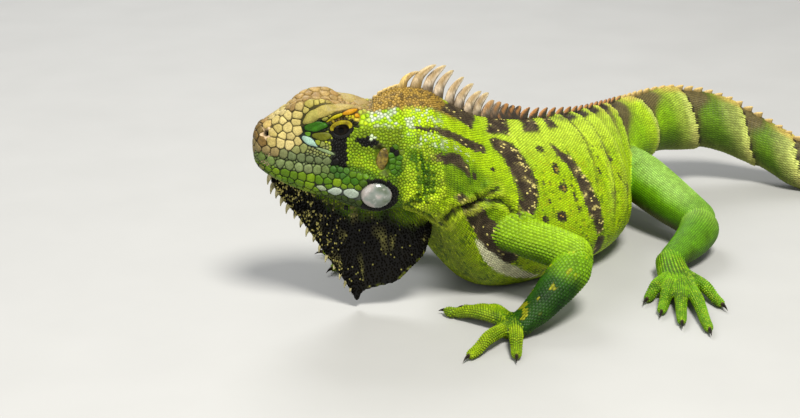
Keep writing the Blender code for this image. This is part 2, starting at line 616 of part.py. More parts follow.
def digit(root, d, length, arch):
    # bent tube from inside the palm out to the claw; returns its mesh and the claw's seat
    rings = []
    side = np.array([-d[1], d[0], 0.0])
    plan = [(-3.0, 4.6, 1.0), (0.46 * length, 4.4 + arch, 0.96), (0.62 * length, 4.0 + arch * 0.8, 1.0),
            (0.82 * length, 2.9, 0.88), (length, 2.5, 0.80)]
    big, tip = DIGIT_R
    for along, z, size in plan:
        t = max(0.0, along / length)
        r = (big + (tip - big) * t) * size
        ring = []
        for j in range(6):
            w = 2 * math.pi * (j + 0.5) / 6
            ring.append((root[0] + d[0] * along + side[0] * r * math.cos(w),
                         root[1] + d[1] * along + side[1] * r * math.cos(w),
                         z + r * math.sin(w)))
        rings.append(ring)
    return rings, (root[0] + d[0] * (length + GAP), root[1] + d[1] * (length + GAP), 2.6)


def extremity(name, pad, digits, side, reach, fore_cut, front):
    # pad (closed mesh) with its digits, cut clear of the limb above and flat on the floor
    ob = add_object(name, *pad)
    for k, (root, angle, length) in enumerate(digits):
        d = mirror_heading(angle, side)
        rings, seat = digit(root, d, length, 1.6 if front else 1.2)
        union(ob, *rings_to_mesh(rings))
        claw('claw_%s_%d' % (name, k + 1), seat, d, reach, 1.35 if front else 1.45)
    cut(ob, fore_cut)
    cut(ob, floor_box)
    return ob


def ellipsoid(centre, half, segs=12, rows=6):
    verts = [(centre[0], centre[1], centre[2] + half[2]), (centre[0], centre[1], centre[2] - half[2])]
    faces = []
    for i in range(1, rows):
        a = math.pi * i / rows
        for j in range(segs):
            b = 2 * math.pi * j / segs
            verts.append((centre[0] + half[0] * math.sin(a) * math.cos(b),
                          centre[1] + half[1] * math.sin(a) * math.sin(b),
                          centre[2] + half[2] * math.cos(a)))
    for j in range(segs):
        k = (j + 1) % segs
        faces.append((0, 2 + j, 2 + k))
        last = 2 + (rows - 2) * segs
        faces.append((1, last + k, last + j))
        for i in range(rows - 2):
            a = 2 + i * segs
            faces.append((a + j, a + segs + j, a + segs + k, a + k))
    return verts, faces


for label, side, L, hand, foot in (('left', 1.0, LIMBS_L, HAND_L, FOOT_L),
                                   ('right', -1.0, LIMBS_R, HAND_R, FOOT_R)):
    upper = add_object('arm_upper_' + label, *rings_to_mesh(limb_rings(L['upper'], 12)))
    cut(upper, body_grown)
    upper_cut = add_object('upper_cut', *rings_to_mesh(limb_rings(L['upper'], 16, GAP + 0.25)), coll=CUTS)
    fore = add_object('forearm_' + label, *rings_to_mesh(limb_rings(L['fore'], 12)))
    cut(fore, upper_cut)
    fore_cut = add_object('fore_cut', *rings_to_mesh(limb_rings(L['fore'], 16, GAP + 0.25)), coll=CUTS)
    mid = hand['mid']
    digits = []
    for angle, length in hand['digits']:
        d = mirror_heading(angle, side)
        digits.append(((mid[0] + d[0] * 6.0, mid[1] + d[1] * 6.0), angle, length))
    extremity('hand_' + label, ellipsoid(mid, hand['half']), digits, side, CLAW_LEN[0], fore_cut, True)

    thigh = add_object('thigh_' + label, *rings_to_mesh(limb_rings(L['thigh'], 12)))
    cut(thigh, body_grown)
    thigh_cut = add_object('thigh_cut', *rings_to_mesh(limb_rings(L['thigh'], 16, GAP + 0.25)), coll=CUTS)
    shank = add_object('shank_' + label, *rings_to_mesh(limb_rings(L['shank'], 12)))
    cut(shank, thigh_cut)
    shank_cut = add_object('shank_cut', *rings_to_mesh(limb_rings(L['shank'], 16, GAP + 0.25)), coll=CUTS)
    a, b = np.array(foot['ankle']), np.array(foot['ball'])
    way = (b - a)[:2] / np.linalg.norm((b - a)[:2])
    across = np.array([-way[1], way[0]]) * side
    sole = [(a[0], a[1], 7.4, 7.6, 6.6), ((a[0] + b[0]) / 2, (a[1] + b[1]) / 2, 5.0, 9.0, 5.4),
            (b[0], b[1], 3.9, 9.6, 4.4)]
    pad = rings_to_mesh(limb_rings(sole, 10, round_start=True, count=3))
    digits = []
    for k, (angle, length) in enumerate(foot['digits']):
        shift = (-7.4, -3.9, 0.0, 3.9, 6.6)[k]
        back = (3.0, 0.5, 0.0, 1.0, 7.0)[k]
        digits.append(((b[0] + across[0] * shift - way[0] * back,
                        b[1] + across[1] * shift - way[1] * back), angle, length))
    extremity('foot_' + label, pad, digits, side, CLAW_LEN[1], shank_cut, False)

for ob in list(CUTS.objects):
    bpy.data.objects.remove(ob, do_unlink=True)
bpy.data.collections.remove(CUTS)
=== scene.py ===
# Green iguana at rest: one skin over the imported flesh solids, its coat of scales, plates
# and spines, the eyes, ear drums, cheek shields and claws. Lengths are in millimetres.
# Short names: p points, n their normals, s and v a place on the body, f points in the head's
# frame, and there a, lat and h for along, beside and up; n1 and n2 are broad and fine noise.
import bpy
import bmesh
import math
import numpy as np
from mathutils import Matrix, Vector, kdtree, noise
from mathutils.bvhtree import BVHTree


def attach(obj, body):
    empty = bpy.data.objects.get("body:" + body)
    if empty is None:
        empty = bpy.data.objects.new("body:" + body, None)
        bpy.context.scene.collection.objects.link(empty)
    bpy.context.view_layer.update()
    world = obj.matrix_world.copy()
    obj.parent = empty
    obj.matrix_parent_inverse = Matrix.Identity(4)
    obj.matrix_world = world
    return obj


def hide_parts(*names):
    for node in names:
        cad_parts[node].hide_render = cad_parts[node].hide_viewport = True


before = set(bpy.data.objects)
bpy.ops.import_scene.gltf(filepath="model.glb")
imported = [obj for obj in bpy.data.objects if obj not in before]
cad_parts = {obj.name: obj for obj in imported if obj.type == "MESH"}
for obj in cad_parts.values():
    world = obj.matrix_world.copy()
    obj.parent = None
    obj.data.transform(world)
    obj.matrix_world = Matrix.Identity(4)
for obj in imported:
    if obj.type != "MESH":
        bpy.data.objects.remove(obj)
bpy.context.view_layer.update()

MM = 0.001
COAT = 0.40                       # depth of the scales over the skin
NAPE_TO = 7                       # where the nape's small plates give way to rows of scales
VOXEL = 1                         # grain of the skin's first mesh
SKIN_TRIANGLES = 176000
HEAD_TURN = math.radians(57)      # the head is turned to the animal's right
HEAD_REF = (-122, 48.3, 85.6)     # where the head's own frame has its middle
rng = np.random.default_rng(7)

# Spine from behind the head to the tail's tip:
# x, y, ridge height, underside height, half width, height of the widest point
BODY = np.array([
    (-106.21, 23.98, 112, 54.4, 20.3, 71.5), (-102.94, 18.95, 112, 51, 20.2, 71.5),
    (-97, 15.8, 109.2, 44.5, 20.3, 69), (-89, 13.7, 104.4, 32, 21.2, 61.5),
    (-80, 12.2, 99.4, 18, 22.5, 52), (-63, 8, 91, 2.5, 27, 38),
    (-50, 5.8, 87.4, -0.8, 30, 33), (-40, 4, 84.8, -1.5, 32.5, 30),
    (-17, 1, 80.5, -1.6, 37, 27), (5, 0, 77, -1.6, 38.5, 26),
    (26, 0, 74, -1.6, 35.5, 26), (45, 2, 71.5, -1.5, 27.6, 27),
    (65, 5, 68.5, -0.6, 22.2, 29), (83, 8, 65.5, 5, 20, 32),
    (100, 11, 63, 13, 18.8, 35), (118, 12, 61, 19, 18, 38),
    (137, 10, 60.5, 21.5, 16.8, 39.5), (155, 3, 60.5, 22.5, 15.6, 40.5),
    (169, -9, 58.5, 22.5, 14.6, 39.5), (181, -24, 53, 19.5, 13.8, 35.5),
    (189, -39, 45.5, 14, 13, 29), (193, -55, 36.5, 7, 12.3, 21),
    (194, -72, 29.5, 1.2, 11.6, 14.5), (197, -88, 26, -0.6, 11, 12.5),
    (207, -103, 24.4, -0.8, 10.5, 11.6), (224, -114, 23, -0.8, 9.9, 10.9),
    (247, -120, 21.5, -0.8, 9.3, 10.1), (274, -121, 20, -0.8, 8.6, 9.4),
    (304, -116, 18.2, -0.7, 7.9, 8.6), (338, -107, 16.4, -0.7, 7.1, 7.7),
    (375, -96.5, 14.6, -0.6, 6.4, 6.8), (415, -86.5, 12.9, -0.6, 5.7, 6),
    (460, -79.5, 11.1, -0.5, 4.9, 5.2), (505, -77.5, 9.4, -0.5, 4.2, 4.4),
    (550, -80.5, 7.8, -0.4, 3.5, 3.7), (595, -88, 6.4, -0.4, 2.9, 3),
    (635, -98, 5.2, -0.3, 2.35, 2.5), (670, -109, 4.2, -0.3, 1.9, 2),
    (700, -119.5, 3.3, -0.2, 1.5, 1.6)])

# Head sections from the snout back. Each: distance along the head's axis, then the half
# outline as (lateral, height) from the crown over brow, cheek, lip and jaw to the throat.
HEAD = [
    (-41.2, (0, 1.5), (1.6, 0.9), (2.6, -0.6), (3, -2.6), (2.6, -4.6), (1.6, -6.4), (0, -7.2)),
    (-40.4, (0, 5.2), (3.4, 4.3), (5.2, 1.4), (5.8, -2.2), (5.4, -5.4), (3.8, -9.2), (0, -10.8)),
    (-38.2, (0, 9.4), (5.4, 8), (8, 4.2), (8.6, -1.2), (8.3, -5.2), (6.6, -11.4), (0, -14)),
    (-35, (0, 11), (6.6, 9.3), (10, 5.4), (10.4, -0.8), (10.1, -5.2), (8.4, -13.2), (0, -16.4)),
    (-30.5, (0, 13.8), (8, 12.4), (11.4, 6.2), (12, -0.6), (12, -5.3), (10.2, -15.4), (0, -19)),
    (-25, (0, 16.6), (9.4, 15.9), (12.4, 7.4), (13.4, -0.4), (13.6, -5.5), (11.6, -17.6), (0, -21.6)),
    (-19, (0, 19.6), (10.8, 21.2), (13.4, 9.6), (14.4, -0.2), (15, -5.8), (12.9, -19.6), (0, -23.8)),
    (-13, (0, 19.8), (12.2, 23.2), (14.6, 11.4), (15.4, 0.2), (16.1, -6.2), (13.9, -21.2), (0, -25.6)),
    (-7, (0, 19.8), (13, 23), (15.7, 12), (16.2, 0.8), (17, -6.8), (14.8, -22.6), (0, -27.2)),
    (0, (0, 18.2), (13.4, 18.9), (16.2, 11.6), (17, 0.6), (18.1, -8.2), (16, -24.6), (0, -28.8)),
    (6, (0, 17.8), (13, 17.8), (16.4, 10.4), (17.6, -0.2), (19.4, -10.8), (17.6, -26.4), (0, -30)),
    (12, (0, 17), (12, 16.2), (16.6, 9.2), (18.3, -1.6), (20.8, -14.2), (18.8, -28.2), (0, -31)),
    (18, (0, 22.6), (11, 19.2), (16.8, 8.8), (18.6, -2.4), (21.6, -15.6), (18.6, -28.8), (0, -31.2)),
    (24, (0, 25.2), (10.2, 21.4), (16.8, 9.4), (18.8, -2.4), (21.4, -15.4), (17.4, -28), (0, -31)),
    (29, (0, 26.4), (9.4, 23.2), (16.6, 10), (19.4, -3), (20.6, -14.6), (16.4, -26.8), (0, -31.2)),
]
EYE = np.array((1.2, 10.4, 9.2))            # along, lateral, height
EYE_R = 6.2
EYE_HALF, EYE_ABOVE, EYE_BELOW = 4.6, 2.8, 3   # half length and heights of its opening
TYMPANUM = (20.2, 18.6, -4.3)
TYMPANUM_R = (2.8, 1.4, 5.9)
TYMPANUM_TILT = -14
SHIELD = (17.4, 19.4, -21.2)
SHIELD_R = (7.4, 2.8, 6.4)
NOSTRIL = (-34.6, 9.6, 6.2)

# Free edge of the throat fan from the chin round the tip to the throat (along, height)
FAN_EDGE = [(-35, -15.5), (-31.8, -24), (-27, -31), (-20.5, -39), (-14.5, -47.5),
            (-8.5, -57), (-1.5, -67.5), (3.5, -75.5), (7.4, -82.6), (10.4, -77.2),
            (16.6, -75), (27, -71.8), (34.2, -64.8), (40, -58.6), (42.6, -51.5),
            (44.2, -44.5), (42.5, -38.5)]
FAN_ROOT = [(-31.5, -11), (-28, -13.5), (-24.5, -15), (-20.5, -16.5), (-16, -18),
            (-11, -19), (-6, -20), (-1, -21), (4, -22), (8, -23),
            (13, -24), (18, -24.5), (23, -25), (27.5, -25.5), (31, -26),
            (34, -27), (37, -29)]
FAN_HALF = (4.6, 0.9)             # half its thickness at the root and at the edge

# Crest spines: place along the spine, length, fore-and-aft base
CREST = [(0.2, 10.4, 2.6), (6.4, 14, 3.6), (12.8, 15.3, 4.4), (19.6, 15.5, 4.9),
         (28, 15.4, 4.6), (34.6, 14.4, 5), (41.2, 12.6, 4.6), (46.6, 13.2, 5.2),
         (54.4, 9.4, 5.4), (60.4, 8.8, 5.4), (66.6, 8.2, 5.4), (72.4, 7.4, 5.4), (78.2, 7, 5.4)]

# Limb stations: x, y, z, half width across, half width upright
LIMBS = dict(
    left=dict(
        upper=[(-67, -4, 38.5, 12.5, 10.5), (-67, -16, 36, 12.2, 9.8),
               (-67.2, -28, 33.8, 10.8, 9.4), (-67.6, -40, 32.4, 10, 9.6),
               (-67.8, -50, 30.5, 9.4, 9.6)],
        fore=[(-67.8, -52, 27, 8, 8), (-74, -52.5, 25, 9.6, 9.6),
              (-83, -51, 20.5, 9.4, 9.2), (-93, -49, 15, 8.2, 7.8),
              (-99.5, -46.5, 10.4, 7.8, 6.6), (-104.5, -42.5, 6.4, 8.4, 4.4)],
        thigh=[(81, -4, 31, 14, 14.5), (76, -18, 28.5, 14.4, 14.5),
               (69.5, -33, 24, 14, 13.8), (63, -48, 19.5, 12.8, 12.6),
               (57.5, -61, 16, 11.2, 11)],
        shank=[(56, -63.5, 14.5, 8.5, 8.5), (47.5, -67.5, 14.2, 11, 10.6),
               (35.5, -69.5, 12.6, 10.2, 9.8), (22, -69.5, 10.8, 8.6, 8),
               (12, -68.5, 9.2, 7.4, 6.4)]),
    right=dict(
        upper=[(-66, 16, 38.5, 12.5, 10.5), (-58, 27, 36.5, 12, 10),
               (-46, 38, 34.5, 10.8, 9.8), (-32, 46.5, 32.2, 10, 9.8),
               (-20, 51.5, 30, 9.4, 9.6)],
        fore=[(-18.5, 53, 27, 8, 8), (-21, 55.5, 25, 9.6, 9.6),
              (-27.5, 61.5, 20.5, 9.4, 9.2), (-34.5, 67.5, 15, 8.2, 7.8),
              (-39.5, 71.6, 10.4, 7.8, 6.6), (-43.6, 74.8, 6.4, 8.4, 4.4)],
        thigh=[(84, 22, 33, 14, 14.5), (83.5, 36, 30, 14.2, 14.5),
               (81, 51, 25.5, 13.6, 13.7), (77.5, 65, 20.5, 12.5, 12.4),
               (74.5, 76, 16.5, 11, 10.8)],
        shank=[(73, 78, 14.8, 8.5, 8.5), (65, 81, 14.2, 10.8, 10.4),
               (54, 83.5, 12.6, 10, 9.6), (41, 84.5, 10.8, 8.4, 7.8),
               (32, 84.5, 9.2, 7.3, 6.3)]),
)
# Digits: heading in degrees from -X, out from the body's middle, and length
HANDS = dict(
    left=dict(mid=(-105, -39.6, 4.4), half=(10, 9.4, 5),
              digits=[(-118, 23), (-106, 29), (-93, 33), (-3, 33), (30, 26)]),
    right=dict(mid=(-45.5, 76, 4.4), half=(10, 9.4, 5),
               digits=[(-46, 22), (-24, 29), (-8, 33), (7, 33), (50, 25)]))
FEET = dict(
    left=dict(ankle=(7, -68.5, 7.6), ball=(-11, -82, 3.8),
              digits=[(3, 22), (16, 35), (25, 47), (34, 57), (52, 33)]),
    right=dict(ankle=(27.5, 84.5, 7.6), ball=(8, 92, 3.8),
               digits=[(-24, 22), (-6, 35), (4, 47), (14, 57), (40, 33)]))
# How far each toe's root lies across and back from the ball of the foot
TOE_SHIFT = (-7.4, -3.9, 0, 3.9, 6.6)
TOE_BACK = (3, 0.5, 0, 1, 7)
DIGIT_R = (3.8, 3.1)              # at a digit's root and at its tip
CLAW_LENGTH = dict(hand=5.2, foot=6)
CLAW_R = dict(hand=1.15, foot=1.25)
SIDES = (('left', 1), ('right', -1))
UP = np.array([0, 0, 1])


# ---- smooth tables
def share(x):
    """x held between 0 and 1."""
    return np.clip(x, 0, 1)


def columns(*values):
    return np.stack(values, -1)


def norm(v):
    return np.linalg.norm(v, axis=-1)


def turns_of(count):
    """Angles of points spread evenly round a circle."""
    return np.linspace(0, 2 * math.pi, count, endpoint=False)


def hermite(t, span, start, leaving, end, arriving):
    """Cubic over a span, from the values and slopes at its two ends."""
    return (start * (1 + 2 * t) * (1 - t) ** 2 + leaving * span * t * (1 - t) ** 2
            + end * t * t * (3 - 2 * t) + arriving * span * t * t * (t - 1))


class Table:
    """A smooth curve through a table; steady keeps it from overshooting."""

    def __init__(self, x, y, steady=True):
        self.x, self.y = np.asarray(x, float), np.asarray(y, float)
        if not steady:
            self.slope = np.gradient(self.y, self.x)
            return
        h = np.diff(self.x)
        d = np.diff(self.y) / h
        self.slope = np.zeros(len(self.x))
        self.slope[0], self.slope[-1] = d[0], d[-1]
        for i in range(1, len(h)):
            if d[i - 1] * d[i] > 0:
                w1, w2 = 2 * h[i] + h[i - 1], h[i] + 2 * h[i - 1]
                self.slope[i] = (w1 + w2) / (w1 / d[i - 1] + w2 / d[i])

    def __call__(self, s):
        s = np.asarray(s, float)
        i = np.clip(np.searchsorted(self.x, s) - 1, 0, len(self.x) - 2)
        span = self.x[i + 1] - self.x[i]
        return hermite(share((s - self.x[i]) / span), span, self.y[i], self.slope[i],
                       self.y[i + 1], self.slope[i + 1])


def chord(points):
    p = np.asarray(points, float)
    return np.concatenate([[0], np.cumsum(norm(np.diff(p, axis=0)))])


def unit(v):
    return v / np.maximum(np.linalg.norm(v, axis=-1, keepdims=True), 1e-9)


def step(a, b, x):
    """Smooth rise from 0 at a to 1 at b, or a fall where b is below a."""
    t = share((x - a) / (b - a))
    return t * t * (3 - 2 * t)


def bell(x, middle, width):
    """1 at the middle, falling away to both sides."""
    return np.exp(-((x - middle) / width) ** 2)


def oval(x, y, middle, half):
    """1 on an oval's edge, less inside it and more outside."""
    return np.hypot((x - middle[0]) / half[0], (y - middle[1]) / half[1])


# ---- body surface
SPINE = chord(BODY[:, :2])
TAIL_END = SPINE[-1]
PATH_X, PATH_Y = (Table(SPINE, BODY[:, k], steady=False) for k in (0, 1))
TOP, LOW, WIDE, WIDE_Z = (Table(SPINE, BODY[:, k]) for k in (2, 3, 4, 5))
GRID_STEP = 1.5
GRID_S = np.arange(0, TAIL_END + GRID_STEP, GRID_STEP)
GRID_V = np.linspace(0, 1, 49)


def heading(s):
    """Direction of the spine toward the tail, on the ground plan."""
    s = np.atleast_1d(np.asarray(s, float))
    a, b = np.clip(s - 0.5, 0, TAIL_END - 0.5), np.clip(s + 0.5, 0.5, TAIL_END)
    d = unit(columns(PATH_X(b) - PATH_X(a), PATH_Y(b) - PATH_Y(a)))
    d[s < 1.5] = (math.cos(HEAD_TURN), -math.sin(HEAD_TURN))
    return d


def half_profiles():
    """Half sections of the body, evenly spread from the ridge down to the belly."""
    lat, hgt = [], []
    a = np.linspace(0, math.pi, 91)
    ca, sa = np.cos(a), np.sin(a)
    for s in np.minimum(GRID_S, TAIL_END):
        tail = min(max((s - 190) / 60, 0), 1)
        e = np.where(ca > 0, 1.75 + 0.15 * tail, 2.35 - 0.30 * tail)
        span = np.where(ca > 0, TOP(s) - WIDE_Z(s), WIDE_Z(s) - LOW(s))
        y = WIDE(s) * np.abs(sa) ** (2 / e)
        z = WIDE_Z(s) + np.sign(ca) * span * np.abs(ca) ** (2 / e)
        c = chord(columns(y, z))
        lat.append(np.interp(GRID_V * c[-1], c, y))
        hgt.append(np.interp(GRID_V * c[-1], c, z))
    return np.array(lat), np.array(hgt)


GRID_LAT, GRID_HGT = half_profiles()
GIRTH = np.array([2 * chord(np.stack([a, b], -1))[-1] for a, b in zip(GRID_LAT, GRID_HGT)])


def body_at(s, v, grow=0):
    """Point of the body: s along the spine, v from 0 at the ridge to 1 at the belly on the
    animal's left and to -1 on its right."""
    s, v = np.broadcast_arrays(np.asarray(s, float), np.asarray(v, float))
    i = np.clip(s / GRID_STEP, 0, len(GRID_S) - 1.001)
    j = share(np.abs(v)) * (len(GRID_V) - 1)
    i0, j0 = i.astype(int), np.minimum(j.astype(int), len(GRID_V) - 2)
    fi, fj = i - i0, j - j0

    def between(g):
        return ((g[i0, j0] * (1 - fj) + g[i0, j0 + 1] * fj) * (1 - fi)
                + (g[i0 + 1, j0] * (1 - fj) + g[i0 + 1, j0 + 1] * fj) * fi)

    lat, z = between(GRID_LAT), between(GRID_HGT)
    if grow:
        d = unit(columns(lat, z - WIDE_Z(s)))
        lat, z = lat + d[..., 0] * grow, z + d[..., 1] * grow
    d = heading(s.ravel()).reshape(s.shape + (2,))
    lat = lat * np.sign(v + 1e-12)
    over = np.minimum(s, 0)
    return np.stack([PATH_X(s) + d[..., 1] * lat + d[..., 0] * over,
                     PATH_Y(s) - d[..., 0] * lat + d[..., 1] * over, np.maximum(z, 0)], -1)


# ---- head surface
HEAD_ALONG = [row[0] for row in HEAD]
HEAD_COLUMNS = [(Table(HEAD_ALONG, [row[k][0] for row in HEAD]),
                 Table(HEAD_ALONG, [row[k][1] for row in HEAD])) for k in range(1, 8)]


def head_place(along, lateral, height):
    """From the head's own frame: snout negative, lateral positive on the animal's left."""
    c, s = math.cos(HEAD_TURN), math.sin(HEAD_TURN)
    along, lateral, height = np.broadcast_arrays(along, lateral, height)
    return np.stack([HEAD_REF[0] + along * c - lateral * s,
                     HEAD_REF[1] - along * s - lateral * c, HEAD_REF[2] + height], -1)


def head_way(along, lateral, height):
    """A direction in the head's own frame."""
    return head_place(along, lateral, height) - head_place(0, 0, 0)


def head_frame(p):
    """Back to the head's own frame: along, lateral, height."""
    c, s = math.cos(HEAD_TURN), math.sin(HEAD_TURN)
    x, y = p[..., 0] - HEAD_REF[0], p[..., 1] - HEAD_REF[1]
    return columns(x * c - y * s, -x * s - y * c, p[..., 2] - HEAD_REF[2])


def head_at(along, k, side=1, grow=0):
    """Point of the head; k runs over the outline's columns, 0 crown to 6 throat."""
    along, k = np.broadcast_arrays(np.asarray(along, float), np.asarray(k, float))
    p = np.stack([np.stack([a(along), b(along)], -1) for a, b in HEAD_COLUMNS], -2)
    h = norm(np.diff(p, axis=-2))[..., None] + 1e-6
    d = np.diff(p, axis=-2) / h
    m = np.empty_like(p)
    m[..., 0, :], m[..., -1, :] = d[..., 0, :], d[..., -1, :]
    m[..., 1:-1, :] = ((d[..., :-1, :] * h[..., 1:, :] + d[..., 1:, :] * h[..., :-1, :])
                       / (h[..., 1:, :] + h[..., :-1, :]))
    i = np.clip(k.astype(int), 0, 5)
    t = share(k - i)[..., None]

    def pick(arr, n):
        return np.take_along_axis(arr, n[..., None, None], axis=-2)[..., 0, :]

    q = hermite(t, pick(h, i), pick(p, i), pick(m, i), pick(p, i + 1), pick(m, i + 1))
    if grow:
        q = q + unit(q - np.array([0, -3])) * grow
    return head_place(along, q[..., 0] * side, q[..., 1])


# ---- throat fan surface
FAN_N = len(FAN_EDGE)
EDGE_A, EDGE_H = (Table(range(FAN_N), [p[k] for p in FAN_EDGE]) for k in (0, 1))
ROOT_A, ROOT_H = (Table(range(FAN_N), [p[k] for p in FAN_ROOT]) for k in (0, 1))


def fan_at(i, v, side, grow=0):
    """Point of the throat fan: i along its edge from the chin, v from the root to the edge."""
    i, v = np.broadcast_arrays(np.asarray(i, float), np.asarray(v, float))
    half = FAN_HALF[0] + (FAN_HALF[1] - FAN_HALF[0]) * v ** 0.75 + grow
    ends = np.minimum(1, 0.35 + 0.25 * np.minimum(i, FAN_N - 1 - i))
    return head_place(ROOT_A(i) * (1 - v) + EDGE_A(i) * v, side * half * ends,
                      ROOT_H(i) * (1 - v) + EDGE_H(i) * v)


# ---- limbs and digits
class Limb:
    """A bent tube through stations of x, y, z, half width across, half width upright."""

    def __init__(self, stations):
        p = np.asarray(stations, float)
        self.s = chord(p[:, :3])
        self.length = self.s[-1]
        self.path = [Table(self.s, p[:, k], steady=False) for k in range(3)]
        self.across, self.upright = Table(self.s, p[:, 3]), Table(self.s, p[:, 4])

    def middle(self, s):
        return np.stack([q(s) for q in self.path], -1)

    def at(self, s, turn, grow=0):
        """turn is the angle round the limb, 0 at its side and 90 degrees on top; s may run
        past either end over a rounded cap."""
        s, turn = np.broadcast_arrays(np.asarray(s, float), np.asarray(turn, float))
        c = np.clip(s, 0, self.length)
        past = s - c
        d = unit(self.middle(np.minimum(c + 0.5, self.length)) - self.middle(np.maximum(c - 0.5, 0)))
        side = unit(np.cross(d, UP))
        up = np.cross(side, d)
        a, b = self.across(c) + grow, self.upright(c) + grow
        slim = np.sqrt(share(1 - (past / a) ** 2))
        return (self.middle(c) + d * np.clip(past, -a, a)[..., None]
                + side * (a * slim * np.cos(turn))[..., None]
                + up * (b * slim * np.sin(turn))[..., None])


def limb_heading(angle, side):
    t = math.radians(angle)
    return np.array([-math.cos(t), -side * math.sin(t)])


def digit_limb(root, d, length, arch):
    plan = [(-3, 4.6, 1), (0.22 * length, 5 + 0.5 * arch, 0.93), (0.46 * length, 4.4 + arch, 1),
            (0.62 * length, 4 + 0.8 * arch, 0.93), (0.82 * length, 2.9, 0.88), (length - 1.2, 2.6, 0.82)]
    rows = []
    for along, z, size in plan:
        r = (DIGIT_R[0] + (DIGIT_R[1] - DIGIT_R[0]) * max(0, along / length)) * size
        rows.append((root[0] + d[0] * along, root[1] + d[1] * along, z, r, r))
    return Limb(rows)


def build_limbs():
    """Every tube of the four legs, and where each claw sits."""
    tubes, claws = [], []
    for label, side in SIDES:
        hand, foot = HANDS[label], FEET[label]
        (x, y, z), (a, b, c) = hand['mid'], hand['half']
        ankle, ball = np.array(foot['ankle']), np.array(foot['ball'])
        way, mid = unit((ball - ankle)[:2]), (ankle + ball) / 2
        across = np.array([-way[1], way[0]]) * side
        palm = [(x + 0.55 * a, y, z, 0.8 * b, 0.9 * c), (x, y, z, b, c),
                (x - 0.55 * a, y, z, 0.8 * b, 0.85 * c)]
        sole = [(*ankle[:2], 7.4, 7.6, 6.6), (*mid[:2], 5, 9, 5.4), (*ball[:2], 3.9, 9.6, 4.4)]
        limbs = [(kind, Limb(stations)) for kind, stations in LIMBS[label].items()]
        for kind, stations, tip, claw, digits, arch in (
                ('palm', palm, 'finger', 'hand', hand['digits'], 1.6),
                ('sole', sole, 'toe', 'foot', foot['digits'], 1.2)):
            limbs.append((kind, Limb(stations)))
            for k, (angle, length) in enumerate(digits):
                d = limb_heading(angle, side)
                root = np.array([x, y]) + d * 6
                if claw == 'foot':
                    root = ball[:2] + across * TOE_SHIFT[k] - way * TOE_BACK[k]
                limbs.append((tip, digit_limb(root, d, length, arch)))
                claws.append((claw, label, k + 1, root + d * length, d))
        tubes += [dict(kind=kind, label=label, side=side, limb=limb) for kind, limb in limbs]
    return tubes, claws


TUBES, CLAWS = build_limbs()


# ---- first mesh of the skin
def mesh_of(bm, name):
    mesh = bpy.data.meshes.new(name)
    bm.to_mesh(mesh)
    bm.free()
    return mesh


# How far along each upper limb its hollow lies, and how wide it is
HOLLOWS = dict(upper=(8, 12), thigh=(3, 15))


def wrap(bm, rings):
    """Adds a closed tube through rings with equal counts: a grid folded round on itself."""
    rings = np.asarray(rings, float)
    m, n = rings.shape[:2]
    part = bmesh.new()
    bmesh.ops.create_grid(part, x_segments=n, y_segments=m - 1, size=1)
    folded = np.concatenate([rings, rings[:, :1]], axis=1).reshape(-1, 3) * MM
    for vert, place in zip(part.verts, folded):
        vert.co = place
    bmesh.ops.remove_doubles(part, verts=part.verts, dist=1e-6)
    bmesh.ops.holes_fill(part, edges=[e for e in part.edges if e.is_boundary], sides=0)
    bmesh.ops.recalc_face_normals(part, faces=part.faces)
    mesh = mesh_of(part, 'part')
    bm.from_mesh(mesh)
    bpy.data.meshes.remove(mesh)


def round_trip(low, high, count):
    """Values from low to high and back, without the two ends twice."""
    out = np.linspace(low, high, count)
    return np.concatenate([out, out[-2:0:-1]])


def limb_rings(limb, grow, sides=20, spacing=2.5):
    a0, a1 = limb.across(0) + grow, limb.across(limb.length) + grow
    caps = np.sin(np.radians([15, 32, 50, 68, 84]))
    s = np.concatenate([-a0 * caps[::-1], np.linspace(0, limb.length, max(3, int(limb.length / spacing))),
                        limb.length + a1 * caps])
    turn = turns_of(sides)
    rings = limb.at(s[:, None], turn[None, :], grow)
    rings[..., 2] = np.maximum(rings[..., 2], 0)
    return rings


def first_mesh():
    bm = bmesh.new()
    v = round_trip(0, 1, 33)
    v[33:] *= -1
    s = np.append(np.arange(-3, TAIL_END, 3), TAIL_END)
    shrink = -COAT - 0.5 * (s < 0.5)
    wrap(bm, [body_at(a, v, g) for a, g in zip(s, shrink)])
    along = np.concatenate([[-41.2, -40.9, -40.4], np.arange(-39, 29, 2), [29]])
    k = round_trip(0, 6, 37)
    side = np.where(np.arange(len(k)) < 37, 1, -1)
    wrap(bm, [head_at(np.full(len(k), a), k, side, -COAT) for a in along])
    i = np.linspace(0, FAN_N - 1, 61)
    rows = np.concatenate([np.linspace(0, 1, 15), np.linspace(1, 0, 15)])
    side = np.repeat([1, -1], 15)
    wrap(bm, [fan_at(np.full(30, a), rows, side, -0.15) for a in i])
    for tube in TUBES:
        wrap(bm, limb_rings(tube['limb'], -COAT))
    return bm


def made(ob):
    """The object's mesh with its modifiers applied."""
    bpy.context.view_layer.update()
    graph = bpy.context.evaluated_depsgraph_get()
    mesh = bpy.data.meshes.new_from_object(ob.evaluated_get(graph))
    ob.modifiers.clear()
    old, ob.data = ob.data, mesh
    bpy.data.meshes.remove(old)
    return mesh


def new_object(name, mesh):
    ob = bpy.data.objects.new(name, mesh)
    bpy.context.scene.collection.objects.link(ob)
    return ob


def read(values, key):
    out = np.empty(len(values) * 3)
    values.foreach_get(key, out)
    return out.reshape(-1, 3)


def read_points(mesh):
    return read(mesh.vertices, 'co') / MM


def write_points(mesh, p):
    mesh.vertices.foreach_set('co', (p * MM).ravel())
    mesh.update()


def modify(ob, kind, **settings):
    modifier = ob.modifiers.new(kind.lower(), kind)
    for key, value in settings.items():
        setattr(modifier, key, value)


